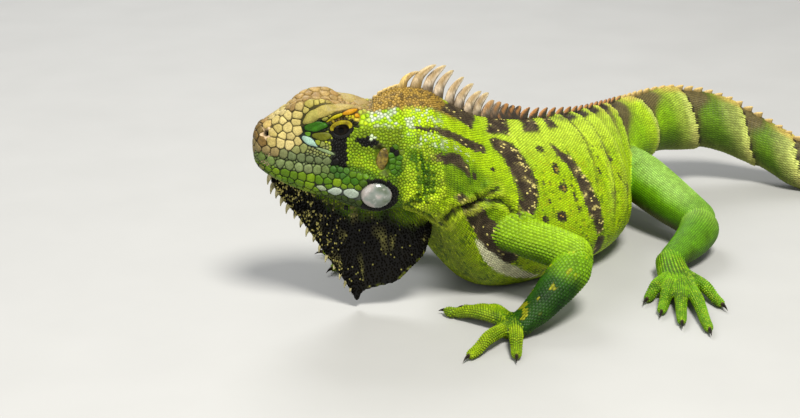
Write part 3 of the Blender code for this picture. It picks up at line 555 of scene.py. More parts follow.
def choose_points(ob, name, which):
    ob.vertex_groups.new(name=name).add(np.nonzero(which)[0].tolist(), 1, 'REPLACE')


def near_eye(p, reach):
    f = head_frame(p)
    return (np.hypot(f[:, 0] - EYE[0], f[:, 2] - EYE[2]) < reach) & (np.abs(f[:, 1]) > 4)


def skin_base():
    ob = new_object('skin', mesh_of(first_mesh(), 'skin'))
    modify(ob, 'REMESH', mode='VOXEL', voxel_size=VOXEL * MM, use_smooth_shade=True)
    modify(ob, 'SMOOTH', factor=0.5, iterations=5)
    p = read_points(made(ob))
    # shoulders and hips run into the body in a hollow, not a corner
    near = np.zeros(len(p), bool)
    for tube in TUBES:
        if tube['kind'] in HOLLOWS:
            along, reach = HOLLOWS[tube['kind']]
            rim = tube['limb'].at(along, np.linspace(0, 2 * math.pi, 24))
            near |= np.min([norm(p - q) for q in rim], axis=0) < reach
    choose_points(ob, 'hollow', near)
    modify(ob, 'SMOOTH', factor=0.5, iterations=26, vertex_group='hollow')
    made(ob)
    ob.vertex_groups.clear()
    return ob


def refine(ob, where):
    """Splits the faces whose middle passes the test, and evens the new points."""
    bm = bmesh.new()
    bm.from_mesh(ob.data)
    mids = np.array([f.calc_center_median() for f in bm.faces]) / MM
    faces = [f for f, hit in zip(bm.faces, where(mids)) if hit]
    edges = list({e for f in faces for e in f.edges})
    cut = bmesh.ops.subdivide_edges(bm, edges=edges, cuts=1, use_grid_fill=True)
    verts = [g for g in cut['geom_inner'] if isinstance(g, bmesh.types.BMVert)]
    for _ in range(3):
        bmesh.ops.smooth_vert(bm, verts=verts, factor=0.5, use_axis_x=True, use_axis_y=True,
                              use_axis_z=True)
    bm.to_mesh(ob.data)
    bm.free()


# ---- places on the body
SPINE_S = np.arange(0, TAIL_END, 1)
SPINE_XY = columns(PATH_X(SPINE_S), PATH_Y(SPINE_S))


def body_frame(p):
    """s along the spine, and v round the body, 0 ridge to +1 belly on the left."""
    near = np.concatenate([np.argmin(((q[:, None, :2] - SPINE_XY[None]) ** 2).sum(-1), axis=1)
                           for q in np.array_split(p, max(1, len(p) // 4000))])
    s = SPINE_S[near]
    d = heading(s)
    off = p[:, :2] - SPINE_XY[near]
    s = np.clip(s + (off * d).sum(-1), 0, TAIL_END)
    lat = off[:, 1] * -d[:, 0] + off[:, 0] * d[:, 1]
    i = np.clip((s / GRID_STEP).round().astype(int), 0, len(GRID_S) - 1)
    gap = (GRID_LAT[i] - np.abs(lat)[:, None]) ** 2 + (GRID_HGT[i] - p[:, 2:3]) ** 2
    return s, GRID_V[np.argmin(gap, axis=1)] * np.where(lat < 0, -1, 1), lat


def line_distance(p, line):
    """Distance of points on a plane from a polyline, and the share of the way along it."""
    line = np.asarray(line, float)
    best, where = np.full(len(p), 1e9), np.zeros(len(p))
    for i, (a, b) in enumerate(zip(line[:-1], line[1:])):
        ab = b - a
        t = np.clip(((p - a) @ ab) / (ab @ ab), 0, 1)
        d = norm(p - a - t[:, None] * ab)
        where = np.where(d < best, (i + t) / (len(line) - 1), where)
        best = np.minimum(best, d)
    return best, where


MOUTH = [(-41, -3.4), (-38.8, -3.5), (-32.4, -4.6), (-25.6, -5.9), (-19.6, -6.6), (-12.8, -7.3),
         (-5.6, -7.6), (1.6, -7.8), (8.8, -9.2), (13.6, -11), (17, -12.6)]
BROW = [(-16, 11), (-12.5, 14.4), (-5.3, 17), (1.6, 18), (8.4, 17.8), (14, 16)]
UNDER_BROW = [(-12, 10.4), (-6, 13), (0.8, 14.6), (7, 15.2), (12, 13.8)]


def above_eye(a, h):
    """Height over the line through the eye's corners, which is a little tilted."""
    return h - EYE[2] - 0.16 * (a - EYE[0])


def eye_ring(a, h):
    """1 at the lids' edge, growing outwards."""
    lifted = above_eye(a, h)
    return np.hypot((a - EYE[0]) / EYE_HALF, lifted / np.where(lifted > 0, EYE_ABOVE, EYE_BELOW))


def ear_ring(a, h):
    da, dh = a - TYMPANUM[0], h - TYMPANUM[2]
    t = math.radians(-TYMPANUM_TILT)
    x, y = da * math.cos(t) + dh * math.sin(t), -da * math.sin(t) + dh * math.cos(t)
    return np.hypot(x / TYMPANUM_R[0], y / TYMPANUM_R[2])


def shield_ring(a, h, shift=0):
    return np.hypot((a - SHIELD[0] - shift) / SHIELD_R[0], (h - SHIELD[2]) / SHIELD_R[2])


def from_nostril(f):
    """Distance from either nostril, or from its mirror places below and behind."""
    return norm(np.abs(f) - np.abs(NOSTRIL))


def lid_shift(e, ring):
    """How far the skin about the eye goes out along e, from the eye's middle."""
    r = norm(e)
    inner = EYE_R - 1.3 * step(1, 0.86, ring) + 0.25 * step(0.86, 1, ring)
    lid = np.where(ring < 1, inner, EYE_R + 0.25 + 0.85 * step(1, 1.4, ring))
    weight = step(2.1, 1.5, ring) * step(-1, 1, e[:, 1])
    upper = 0.75 * bell(ring, 1.72, 0.15) * step(0, 2, e[:, 2])
    lower = 0.25 * bell(ring, 1.45, 0.12) * step(0, -2, e[:, 2])
    return (lid - r) * weight - (upper + lower) * (e[:, 1] > 0)


def face_push(f, lat):
    """How far the skin of one side of the head goes out or in."""
    a, h, flat = f[:, 0], f[:, 2], f[:, [0, 2]]
    d = norm(columns(a - NOSTRIL[0], lat - NOSTRIL[1], h - NOSTRIL[2]))
    push = 0.95 * bell(d, 2.7, 0.8) - 3 * step(1.9, 0.9, d)
    ear, shield = ear_ring(a, h), shield_ring(a, h)
    facing = step(2, 5, lat)
    push = push - 0.75 * bell(line_distance(flat, MOUTH)[0], 0, 0.5) * facing
    push = push - facing * (step(1.10, 0.85, ear) - 0.6 * bell(ear, 1.32, 0.2))
    push = push - facing * (1.2 * step(1.12, 0.92, shield) - 0.45 * bell(shield, 1.3, 0.15))
    facing = step(6, 9, lat)
    ridge, way = line_distance(flat, BROW)
    push = push + 0.9 * bell(ridge, 0, 1.7) * facing * step(0, 0.12, way)
    hollow, way = line_distance(flat, UNDER_BROW)
    push = push - bell(hollow, 0, 1.1) * facing * step(1, 0.85, way)
    push = push - 0.7 * step(1.2, 0.4, oval(a, h, (-11, 7), (6, 4.4))) * facing
    return push + 0.8 * step(1.3, 0.3, oval(a, h, (8, -14), (9, 5))) * facing


def sculpt(p, n):
    """Lids, nostrils, mouth, brows, ear drums and the cheek shields' seats."""
    f = head_frame(p)
    out = head_frame(np.array(HEAD_REF) + n)
    for side in (1, -1):
        e = f * (1, side, 1) - EYE
        f = f + unit(e) * lid_shift(e, eye_ring(f[:, 0], f[:, 2]))[:, None] * (1, side, 1)
        push = face_push(f, f[:, 1] * side)
        f = f + out * (push * (np.abs(f[:, 0]) < 48) * (f[:, 2] > -40))[:, None]
    notch = bell(f[:, 0], 13.8, 1.5) * step(11, 14, f[:, 2]) * step(11.5, 8.5, np.abs(f[:, 1]))
    f = f - out * (1.8 * notch)[:, None]
    return head_place(f[:, 0], f[:, 1], f[:, 2])


class Surface:
    """Carries points laid on the plain skin over to the sculpted one."""

    def __init__(self, mesh):
        mesh.calc_loop_triangles()
        tri = np.empty(len(mesh.loop_triangles) * 3, np.int64)
        mesh.loop_triangles.foreach_get('vertices', tri)
        self.tri = tri.reshape(-1, 3)
        self.plain = read_points(mesh)
        self.tree = BVHTree.FromPolygons(self.plain.tolist(), self.tri.tolist(), all_triangles=True)

    def sculpted(self, mesh):
        self.points, self.normals = read_points(mesh), read(mesh.vertex_normals, 'vector')

    def snap(self, p):
        """Nearest places: sculpted point, normal and how far each point was off the skin."""
        hits = [self.tree.find_nearest(q) for q in p.tolist()]
        at = np.array([h[0] for h in hits])
        t = self.tri[np.array([h[2] for h in hits])]
        a, b, c = (self.plain[t[:, k]] for k in range(3))
        ab, ac, ap = b - a, c - a, at - a
        d00, d01, d11 = (ab * ab).sum(1), (ab * ac).sum(1), (ac * ac).sum(1)
        d20, d21 = (ap * ab).sum(1), (ap * ac).sum(1)
        den = np.maximum(d00 * d11 - d01 * d01, 1e-12)
        w1, w2 = (d11 * d20 - d01 * d21) / den, (d00 * d21 - d01 * d20) / den
        w = columns(1 - w1 - w2, w1, w2)[..., None]
        where = (self.points[t] * w).sum(1)
        return where, unit((self.normals[t] * w).sum(1)), np.array([h[3] for h in hits])


# Creases of the skin, as (s, v) on the body: line, depth, half width, swell above it
FOLDS = [
    ([(4, 0.42), (5.5, 0.49), (6.5, 0.565), (7, 0.665), (5, 0.74), (3, 0.80)], 1.5, 1.2, 0.9),
    ([(14.5, 0.88), (14.2, 0.80), (15.8, 0.71), (22.5, 0.595), (32, 0.475), (38.5, 0.41), (41, 0.385)],
     2.2, 1.3, 1.2),
    ([(18, 0.69), (21, 0.635), (26, 0.555), (32, 0.50), (38.5, 0.455), (43, 0.445), (46, 0.46),
      (49, 0.50), (50.5, 0.56)], 2.4, 1.5, 1.3),
    ([(3, 0.80), (4.5, 0.825), (7, 0.868), (10.5, 0.895), (14.5, 0.885)], 1.5, 1.2, 0.9),
    ([(56, 0.38), (57.5, 0.45), (58, 0.54)], 1, 1.1, 0.5),
    ([(60.5, 0.42), (62, 0.49), (62, 0.57)], 0.7, 1, 0.4),
    ([(128, 0.36), (136, 0.50), (137, 0.66)], 1.2, 1.6, 0.6),
]
# Rear edges of the rump's and tail's rings where they cross the ridge
RINGS = [104, 121, 138, 156, 177, 197, 238, 278, 317, 351, 385, 418,
         450, 481, 511, 540, 568, 595, 621, 646, 670, 693, 715, 736,
         756, 775, 793, 810, 826, 842]
RUMP_SLANT, RING_SLANT = 45, 15   # how far forward the rump's rings run to the belly, and back the tail's


def half_girth(s):
    return np.interp(s, GRID_S, GIRTH) / 2


def flat_body(s, v):
    return columns(s, np.abs(v) * half_girth(s))


def body_line(s, v, line):
    """Distance over the skin from a line of (s, v), and the share of the way along it."""
    return line_distance(flat_body(s, v), flat_body(*np.transpose(line)))


def ring_place(s, v):
    """Share of the way through a tail ring, 0 at its front and 1 at its rear edge."""
    q = s + np.abs(v) * (RUMP_SLANT * step(215, 190, s) - RING_SLANT * step(190, 240, s))
    i = np.clip(np.searchsorted(RINGS, q), 1, len(RINGS) - 1)
    edges = np.array(RINGS)
    return share((q - edges[i - 1]) / (edges[i] - edges[i - 1]))


def sculpt_body(p, n):
    """Neck folds, the armpit's wrinkles and the rings of rump and tail."""
    s, v, lat = body_frame(p)
    inside = np.abs(lat) < np.interp(s, GRID_S, GRID_LAT.max(1)) + 4
    on_head = (head_frame(p)[:, 0] < 27) & (s < 6)
    push = np.zeros(len(p))
    for line, depth, half, swell in FOLDS:
        d, way = body_line(s, v, line)
        fade = step(0, 0.12, way) * step(1, 0.9, way)
        push += (swell * bell(d, 2.2 * half, 1.2 * half) - depth * bell(d, 0, half)) * fade
    place = ring_place(s, v)
    strength = step(100, 128, s) * (1 - 0.9 * step(190, 640, s))
    strength *= np.where(s < 200, step(0.62, 0.34, np.abs(v)), 1)
    push += strength * (1.9 * step(0.10, 0.80, place) * step(1, 0.94, place) - 0.55)
    return p + n * (push * (inside & ~on_head))[:, None]


def make_skin():
    ob = skin_base()
    refine(ob, lambda m: near_eye(m, 13) | (from_nostril(head_frame(m)) < 5))
    refine(ob, lambda m: near_eye(m, 8.5))
    f = head_frame(read_points(ob.data))
    choose_points(ob, 'thin', ~((f[:, 0] < 30) & (f[:, 2] > -34)))
    ob.data.calc_loop_triangles()
    modify(ob, 'DECIMATE', ratio=SKIN_TRIANGLES / len(ob.data.loop_triangles), vertex_group='thin',
           use_collapse_triangulate=True)
    mesh = made(ob)
    ob.vertex_groups.clear()
    surface = Surface(mesh)
    p = sculpt(read_points(mesh), read(mesh.vertex_normals, 'vector'))
    write_points(mesh, p)
    p = sculpt_body(p, read(mesh.vertex_normals, 'vector'))
    p[:, 2] = np.maximum(p[:, 2], 0.05)
    write_points(mesh, p)
    surface.sculpted(mesh)
    return ob, surface


skin, surface = make_skin()


# ---- colours and noise
def rgb(r, g, b):
    """A display colour from 0-255, made linear."""
    c = np.array([r, g, b]) / 255
    return np.where(c <= 0.04045, c / 12.92, ((c + 0.055) / 1.055) ** 2.4)


LIME, LEAF, MOSS, DEEP = rgb(176, 210, 4), rgb(130, 176, 4), rgb(84, 122, 4), rgb(38, 80, 2)
PALE, CREAM = rgb(196, 222, 66), rgb(214, 200, 124)
BARK, PITCH, OLIVE = rgb(60, 50, 40), rgb(6, 5, 3), rgb(88, 98, 8)
TAN, GOLD, PEACH = rgb(158, 132, 82), rgb(160, 130, 58), rgb(146, 108, 52)
CHALK, SKY = rgb(186, 202, 168), rgb(136, 166, 156)
YELLOW, ORANGE, GREY = rgb(186, 182, 20), rgb(186, 132, 20), rgb(112, 102, 64)


def blend(a, b, t):
    t = np.asarray(t, float)[..., None]
    return a * (1 - t) + b * t


def mixed(a, b, t):
    return blend(a, b, share(t))


def layers(c, *coats):
    """Lays colours over c one after another, each with the share of it that shows."""
    for colour, amount in coats:
        c = blend(c, colour, amount)
    return c


def choose(test, yes, no):
    return np.where(test[:, None], yes, no)


def wobble(p, size, seed=0):
    """Smooth noise about -1 to 1 at points p, with lumps of the given size."""
    q = p / size + seed
    return np.array([noise.noise(a) for a in q.tolist()])


# ---- markings
# Dark marks on the body as (s, v) lines with half widths along them
BANDS = [
    ([(47, 0.175), (53, 0.21), (56, 0.28), (58, 0.345), (57, 0.41), (54.5, 0.46), (52, 0.50)],
     [4.2, 6.4, 7.2, 7.4, 6.8, 5.8, 4]),
    ([(84.5, 0.185), (87.5, 0.225), (91.5, 0.27), (93.5, 0.335), (96, 0.39), (97.5, 0.455),
      (99.5, 0.51), (102, 0.575)], [1.8, 2.6, 3.2, 3.6, 4.4, 4.8, 4.4, 3.4]),
    ([(103.5, 0.64), (106, 0.70)], [4.2, 2.6]),
    ([(5, 0.285), (7, 0.29), (13, 0.29), (21, 0.28), (28, 0.255), (36.5, 0.225)],
     [0.8, 1.4, 2, 2.5, 2.7, 2]),
    ([(9, 0.45), (10.5, 0.455), (14, 0.425), (18.5, 0.435), (20.5, 0.455)], [1.6, 2.4, 3.2, 3, 1.6]),
    ([(17, 0.63), (25, 0.635), (33, 0.645), (39, 0.66), (46, 0.69)], [2.5, 6, 8, 8, 5]),
    ([(126, 0.22), (128, 0.30)], [1, 1.8]),
]
# Spots: s, v, half length, half height
SPOTS = [(75, 0.19, 2.8, 2.2), (80, 0.285, 2.4, 3.4), (80.5, 0.37, 2.6, 3), (76.5, 0.49, 3, 3),
         (66.5, 0.50, 2.2, 1.8), (110.5, 0.33, 1, 2), (116, 0.45, 1.2, 2.6), (24, 0.44, 1.2, 2.2),
         (39.5, 0.31, 1.4, 1), (70, 0.42, 1, 1.6), (88, 0.47, 1.2, 1.4), (86, 0.40, 0.9, 1.4)]
# Dark saddles under the crest: first and last s at the ridge, lowest v
SADDLES = [(26, 46, 0.15), (54, 70, 0.122), (80.5, 93, 0.108), (101, 109, 0.095),
           (117, 124, 0.06)]
SADDLE_SLANT = 90                 # how far forward their edges would run from ridge to belly
PALE_LINE = ([(29, 0.745), (38, 0.75), (46, 0.76), (56, 0.775), (68, 0.79)],
             [1.5, 3, 3.4, 3.2, 1.5])
MARKED_FOLD = 1.1                 # folds deeper than this get painted shade in them, and a painted highlight on the skin beside them


def mark(s, v, line, half, p):
    """1 inside a mark with a rough edge about a line of (s, v)."""
    d, way = body_line(s, v, line)
    width = np.interp(way * (len(line) - 1), range(len(half)), half)
    return step(0.5, -0.5, d - width + 0.8 * wobble(p, 2.6, 5))


def ground_colours(s, y, p, dice, n1, n2):
    """The greens of neck, flank and chest; the nape's golden cones and whitish scales."""
    neck = step(52, 30, s)
    flank = step(58, 66, s) * step(146, 120, s) * step(0.14, 0.24, y)
    fleck = (wobble(p * (1, 1, 0.6), 1.9, 9) > 0.40) & (wobble(p, 9, 3) > -0.15)
    brown = (wobble(p, 2.4, 21) > 0.52) * (wobble(p, 12, 4) > -0.1)
    chest = step(4, 16, s) * step(78, 62, s) * step(0.60, 0.70, y)
    grid = wobble(p * (1, 1, 0.7), 1.5, 13) > 0.24
    return layers(
        mixed(LIME, LEAF, 0.18 + 0.45 * n1 + 0.30 * n2),
        (PALE, 0.75 * step(0.34, 0.12, y) * step(36, 60, s)),
        (mixed(MOSS, rgb(124, 164, 4), 0.40 + 0.9 * n2),
         0.85 * neck * step(0.30, 0.42, y + 0.06 * n1) * step(0.74, 0.6, y)),
        (rgb(70, 110, 4), 0.7 * neck * step(0.05, 0.45, wobble(p, 5.5, 17)) * step(0.34, 0.44, y)
         * step(0.76, 0.64, y)),
        (LIME, 0.6 * neck * step(0.58, 0.66, y) * step(0.9, 0.8, y)),
        (OLIVE, 0.75 * step(0.70, 0.95, y) * step(230, 200, s)),
        (DEEP, 0.60 * flank * fleck),
        (BARK, 0.8 * flank * brown),
        (YELLOW, 0.4 * flank * (dice < 0.10)),
        (DEEP, 0.62 * chest * grid * (wobble(p, 8, 14) > -0.25)),
        (rgb(188, 206, 40), 0.35 * chest * (dice < 0.2)),
        (CHALK, step(16, 6, s) * step(0.13, 0.2, y) * step(0.36, 0.28, y) * (dice < 0.34)),
        (CHALK, step(27, 18, s) * step(0.05, 0, np.abs(y - 0.36)) * (dice < 0.22)),
        (blend(GOLD, BARK, 0.6 * (dice < 0.3)), step(24, 17, s) * step(0.19, 0.15, y)))


def dark_marks(s, v, y, p, dice, n2):
    """Colour and share of the bands and saddles, with pale streaks in the first bands' rear."""
    dark, rear = np.zeros(len(s)), np.zeros(len(s))
    for line, half in BANDS:
        dark = np.maximum(dark, mark(s, v, line, half, p))
    for front, back, low in SADDLES:
        across = s + SADDLE_SLANT * y + n2
        dark = np.maximum(dark, step(-0.8, 0.8, across - front) * step(0.8, -0.8, across - back)
                          * step(0.01, -0.01, y - low + 0.010 * n2))
    for (line, half), shift in zip(BANDS, (3, 2)):
        rear = np.maximum(rear, mark(s, v, np.array(line) + (shift, 0), 0.42 * np.array(half), p))
    streaks = (rear > 0.5) & (wobble(p * (1, 1, 0.55), 1.5, 31) > 0.22)
    return choose(streaks | (dice < 0.035), CREAM, mixed(BARK, rgb(96, 84, 62), n2 + 0.3)), dark


def ring_colours(y, far, s, place, n1):
    """The rings of rump and tail: dark in front, partly painted shade in the groove, green, then pale at the
    rear edge, partly a painted highlight on each ring's swell.
    """
    ridge = step(0.40, 0.08, y)
    dark_to = 0.10 + 0.36 * ridge + 0.25 * far
    middle = layers(blend(rgb(150, 200, 14), rgb(150, 178, 40), ridge),
                    (rgb(84, 118, 18), 0.85 * step(236, 284, s)), (OLIVE, far))
    late = layers(rgb(188, 224, 40), (rgb(154, 166, 84), step(236, 300, s)), (rgb(150, 152, 92), far))
    pale = blend(rgb(214, 228, 120), CREAM, 0.1 + 0.6 * far + 0.4 * step(0.45, 0.7, y))
    return layers(
        blend(mixed(rgb(96, 92, 44), GREY, 1.4 * ridge), BARK, 0.15 + 0.6 * far),
        (middle, step(-0.10, 0.12, place - dark_to + 0.10 * n1)),
        (late, step(0.42, 0.75, place) * 0.9),
        (pale, step(0.78, 0.95, place) * (0.9 - 0.2 * ridge)),
        (rgb(206, 178, 92), 0.8 * step(0.15, 0.05, y) * step(0.40, 0.8, place)),
        (BARK * 0.8, far * step(0.45, 0.2, place) * 0.8),
        # Painted shade: darker on the underside, and in the groove at each ring's front.
        (rgb(64, 98, 10), 0.65 * step(0.40, 0.62, y) * step(0.85, 0.55, place)),
        (rgb(112, 120, 50), 0.6 * step(0.62, 0.85, y)),
        (BARK * 0.7, 0.85 * step(0.06, 0.02, place) * step(0.9, 0.7, y)))


def paint_body(s, v, p, dice):
    """Colour of each scale of neck, trunk and tail; dice is a random number each."""
    y = np.abs(v)
    n1, n2 = wobble(p, 14, 1), wobble(p, 4.5, 2)
    c = layers(ground_colours(s, y, p, dice, n1, n2), dark_marks(s, v, y, p, dice, n2))
    for along, down, half, tall in SPOTS:
        q = np.hypot((s - along) / half, (y - down) * half_girth(s) / tall)
        c = blend(c, blend(BARK, GOLD, (q < 0.35) * (tall > 2.6)), step(1.15, 0.85, q + 0.3 * n2))
    c = blend(c, rgb(226, 224, 190), mark(s, v, *PALE_LINE, p))
    crease_shade = blend(DEEP, BARK * 0.6, step(9, 16, s))
    # Painted shade in the deeper folds, and a painted highlight on the swell beside each.
    for line, depth, _, _ in FOLDS:
        if depth > MARKED_FOLD:
            d, way = body_line(s, v, line)
            c = layers(c, (crease_shade, 0.9 * step(1.3, 0.5, d + 0.4 * n2) * step(0, 0.1, way)),
                       (rgb(196, 210, 50), 0.4 * bell(d, 2.6, 0.9)))
    place = ring_place(s, v)
    # Painted shade in the rump's ring grooves, and a painted highlight on each ring's rear swell.
    lip = step(98, 118, s) * step(210, 180, s) * step(0.66, 0.42, y)
    return layers(
        c,
        (ring_colours(y, step(330, 420, s), s, place, n1), step(150, 198, s + 60 * (0.25 - y))),
        (rgb(92, 88, 42), 0.9 * lip * step(0.24, 0.06, place)),
        (rgb(196, 222, 70), 0.5 * lip * step(0.50, 0.9, place)),
        (BARK, step(104, 118, s) * step(215, 200, s) * step(0.075, 0.05, y)
         * step(0.72, 0.5, place)))


def paint_limb(kind, s, length, turn, p, dice, side):
    """Colour of each scale of a leg; turn is 90 degrees on top of the limb."""
    t, up = share(s / length), np.sin(turn)
    n1, n2 = wobble(p, 11, 4), wobble(p, 3.6, 6)
    # the limb's underside, which is darkened as painted shade
    below = step(-0.2, -0.8, up)
    if kind == 'upper':
        front = -side * np.cos(turn)
        black = np.maximum(
            step(-0.85, -0.4, front) * step(0, -0.35, up) * step(0.50, 0.38, t + 0.08 * n2),
            step(0.05, -0.05, t - 0.2 + 0.12 * n2) * step(0.7, 0.3, up) * step(0.1, 0.5, front))
        # Painted light: lighter on top, and darker underneath as painted shade; the black band is the
        # animal's own.
        return layers(mixed(rgb(108, 154, 4), rgb(150, 190, 24), 0.45 + 0.5 * up + 0.3 * n1),
                      (MOSS, step(-0.1, -0.7, up)), (choose(dice < 0.05, TAN, BARK), black))
    if kind == 'fore':
        return layers(mixed(rgb(48, 98, 4), rgb(18, 54, 2), 0.5 + 0.5 * n1 + 0.3 * n2),
                      (rgb(120, 168, 8), step(0.46, 0.16, t + 0.12 * n1)),
                      (YELLOW, 0.5 * (wobble(p, 5, 8) > 0.32) * step(0.2, 0.8, up)))
    if kind in ('palm', 'finger'):
        # The palm and the fingers' roots are darker green, partly the animal's colour and partly painted
        # shade; undersides are painted shade.
        dark = (rgb(56, 98, 4), 0.9) if kind == 'palm' else (rgb(70, 112, 4), 0.9 * step(0.34, 0.10, t))
        return layers(mixed(rgb(150, 178, 10), rgb(112, 150, 6), 0.35 + 0.8 * n1), dark,
                      (rgb(166, 190, 24), 0.5 * (dice < 0.25)), (OLIVE, 0.6 * below))
    if kind == 'thigh':
        # Painted highlight: a pale bluish sheen on top, with painted shade making it darker underneath.
        return layers(blend(rgb(112, 170, 6), rgb(160, 204, 96), step(0.35, 0.95, up + 0.25 * n1) * 0.8),
                      (rgb(86, 144, 6), step(0.45, 0.05, up) * 0.85),
                      (rgb(92, 146, 10), 0.6 * step(0.8, 1, t)), (OLIVE * 0.8, step(-0.1, -0.6, up)))
    if kind == 'shank':
        # Painted light: lighter on top, and near the knee the thigh's painted sheen carries on.
        return layers(mixed(rgb(92, 146, 10), rgb(62, 84, 4), 0.3 + 0.6 * n1 - 0.5 * up),
                      (blend(LEAF, rgb(160, 204, 96), 0.5), 0.8 * step(0.50, 0.10, t) * step(-0.2, 0.8, up)))
    # Painted shade: soles and toes darker underneath.
    return layers(mixed(rgb(120, 176, 6), rgb(70, 108, 4), 0.3 + 0.6 * n1),
                  (rgb(160, 190, 40), 0.5 * (dice < 0.3)), (OLIVE, 0.5 * below))


def paint_fan(i, v, p, dice):
    """The throat fan: black with pale specks, green where it leaves the jaw at the back."""
    n1, n2 = wobble(p, 9, 3), wobble(p, 3, 7)
    front = step(9, 3, i)
    specks = dice < (0.05 + 0.36 * front * step(0, 0.5, v) + 0.25 * step(0.35, 0, v))
    c = choose(specks & (n2 > -0.25), blend(rgb(118, 116, 62), CREAM, dice * 2),
               mixed(PITCH, rgb(16, 14, 6), 0.4 + n2))
    green = np.maximum(
        step(0.30, 0.12, v + 0.10 * n2) * step(2, 6, i),
        step(0.09, -0.09, v - 0.42 - 0.10 * (i - 12.5) + 0.12 * n2) * step(10.8, 12.6, i))
    return layers(c, (mixed(MOSS, rgb(150, 168, 34), 0.4 + n1 + 0.5 * n2), green),
                  (rgb(140, 150, 50), 0.8 * step(0.955, 0.985, v) * (dice < 0.5) * step(9, 11, i)))


def snout_and_nape(c, f, a, lat, h, over, dice, n1, n2):
    """The plates of snout, brow and crown, and the pale scales of the nape."""
    snout = step(-12, -15, a - 0.35 * (h - 8)) * over
    crown = step(12.2, 11, lat - 0.10 * (h - 18)) * step(15, 17.5, h)
    streak, _ = line_distance(f[:, [0, 2]], [(-6, 11.2), (-2, 13.4), (3, 14.4), (9, 15)])
    nape = step(13, 16, a)
    white = step(9, 12.5, h) * (dice < 0.36 + 0.40 * step(27, 23, a) * step(12, 14, h))
    return layers(
        c,
        (mixed(rgb(192, 176, 122), rgb(180, 164, 100), 0.5 + n1), snout),
        (PEACH, snout * step(-30, -35, a) * (0.65 + 0.4 * n2)),
        (rgb(92, 74, 38), 0.8 * snout * step(-34, -38, a)),
        (mixed(rgb(160, 146, 76), rgb(132, 140, 44), 0.4 + n1),
         step(10.5, 13, h) * step(11.5, 9, a) * step(-18, -14, a)),
        (mixed(TAN, rgb(140, 110, 66), 0.3 + n2), crown),
        (mixed(YELLOW, ORANGE, 0.5 + n2), step(1.3, 0.8, streak) * (lat > 8)),
        (mixed(rgb(196, 208, 188), LEAF, 0.1 + n2), nape * white),
        (blend(GOLD, BARK, 0.6 * (dice < 0.3)), nape * step(12.8, 11.6, lat) * step(15, 17, h)))


def face_and_jaw(c, a, lat, h, lip, over, n1, n2):
    """Before the eye, under it, the lips and the jaw's muscle."""
    cheek = step(-23, -20, a) * step(-3, -5, a) * step(3.4, 1.6, h) * step(-7.5, -5.5, h)
    jaw = step(4.4, 5.6, lip) * ~over * np.maximum(step(3, 9, lat), step(-29, -33, a))
    lower = step(5.6, 5, lip) * ~over * step(7, 2, a)
    muscle = step(1.2, 0.8, oval(a, h + 0.20 * (a - 8), (8, -11.8), (13, 4.6)))
    return layers(
        c,
        (mixed(rgb(64, 118, 14), rgb(120, 118, 30), 0.4 + n1),
         step(1.15, 0.85, oval(a, h, (-12, 7.6), (6.4, 4.6)))),
        (rgb(150, 140, 46), 0.6 * step(1.2, 0.7, oval(a, h, (-6, 4), (3.2, 4.6)))),
        (rgb(112, 116, 26), 0.8 * step(1.2, 0.8, oval(a, h, (-9.5, 0.5), (5.5, 3.6))) * (lat > 8)),
        (mixed(rgb(104, 112, 60), rgb(126, 130, 84), 0.5 + n2), 0.95 * cheek),
        (rgb(110, 118, 8), 0.6 * step(2, 6, a) * step(-3, 0, h) * step(12, 9, h) * (lat > 8)),
        (blend(rgb(92, 104, 68), rgb(136, 116, 76), step(-24, -31, a) * 0.8),
         step(4.9, 4.3, lip) * over * step(4.6, 2, a)),
        (mixed(rgb(110, 120, 84), rgb(88, 108, 48), 0.5 + n1),
         lower * np.maximum(step(3, 6, lat), step(-31, -35, a))),
        (mixed(rgb(104, 128, 8), rgb(52, 90, 4), 0.5 + 1.2 * n1), 0.9 * jaw),
        (rgb(38, 86, 4), 0.85 * muscle),
        (rgb(34, 46, 10), 0.85 * step(-19, -22, h - 0.15 * a) * step(20, 12, a)),
        (rgb(84, 116, 6), 0.55 * step(0, 6, a) * step(12, 9, h) * over * (lat > 8)),
        (rgb(40, 86, 4), 0.9 * step(1.15, 0.8, oval(a, h, (26.5, -5), (4.6, 7.5)))))


def dark_face(c, a, lat, h, over, dice, n2):
    """Black bar and spots behind the eye, the rims of ear drum, eye and cheek shield."""
    bar = step(4, 3.6, np.abs(a - 0.1 - 0.03 * h)) * step(8.6, 7.6, h) * step(-8.4, -7.6, h) * (lat > 8)
    spot = step(1.15, 0.9, oval(a, h + 0.10 * (a - 13.6), (13.6, 3.9), (5.6, 2.1)) + 0.25 * n2)
    ring, lifted = eye_ring(a, h), above_eye(a, h)
    bow = share(lifted / (EYE_ABOVE * ring))
    lid = blend(mixed(rgb(160, 150, 14), rgb(112, 96, 12), 0.5 + 1.2 * n2), PITCH,
                step(-0.03, 0.03, ring - 1.10 - 0.50 * bow ** 0.7))
    above = lifted > 0.2
    return layers(
        c,
        (PITCH, bar * over),
        (PITCH, spot * (lat > 8)),
        (CHALK, step(1.2, 0.9, oval(a, h, (15.6, 5.8), (1.6, 1.1))) * (lat > 8)),
        (PITCH, step(1.15, 0.9, oval(a, h, (26, -0.2), (3.4, 1.7))) * (lat > 8)),
        (BARK, step(1.45, 1.25, ear_ring(a, h)) * (lat > 8) * 0.8),
        (choose(above, lid, PITCH), step(1.66, 1.56, ring) * (lat > 6)),
        (PITCH, step(2, 1.85, ring) * step(1.54, 1.64, ring) * (lat > 6) * above * 0.95),
        (PITCH, step(1.38, 1.28, shield_ring(a, h, 0.8)) * (lat > 8)),
        (blend(PITCH, rgb(96, 92, 44), dice < 0.4), step(9.5, 6, lat) * (h < -10) * ~over))


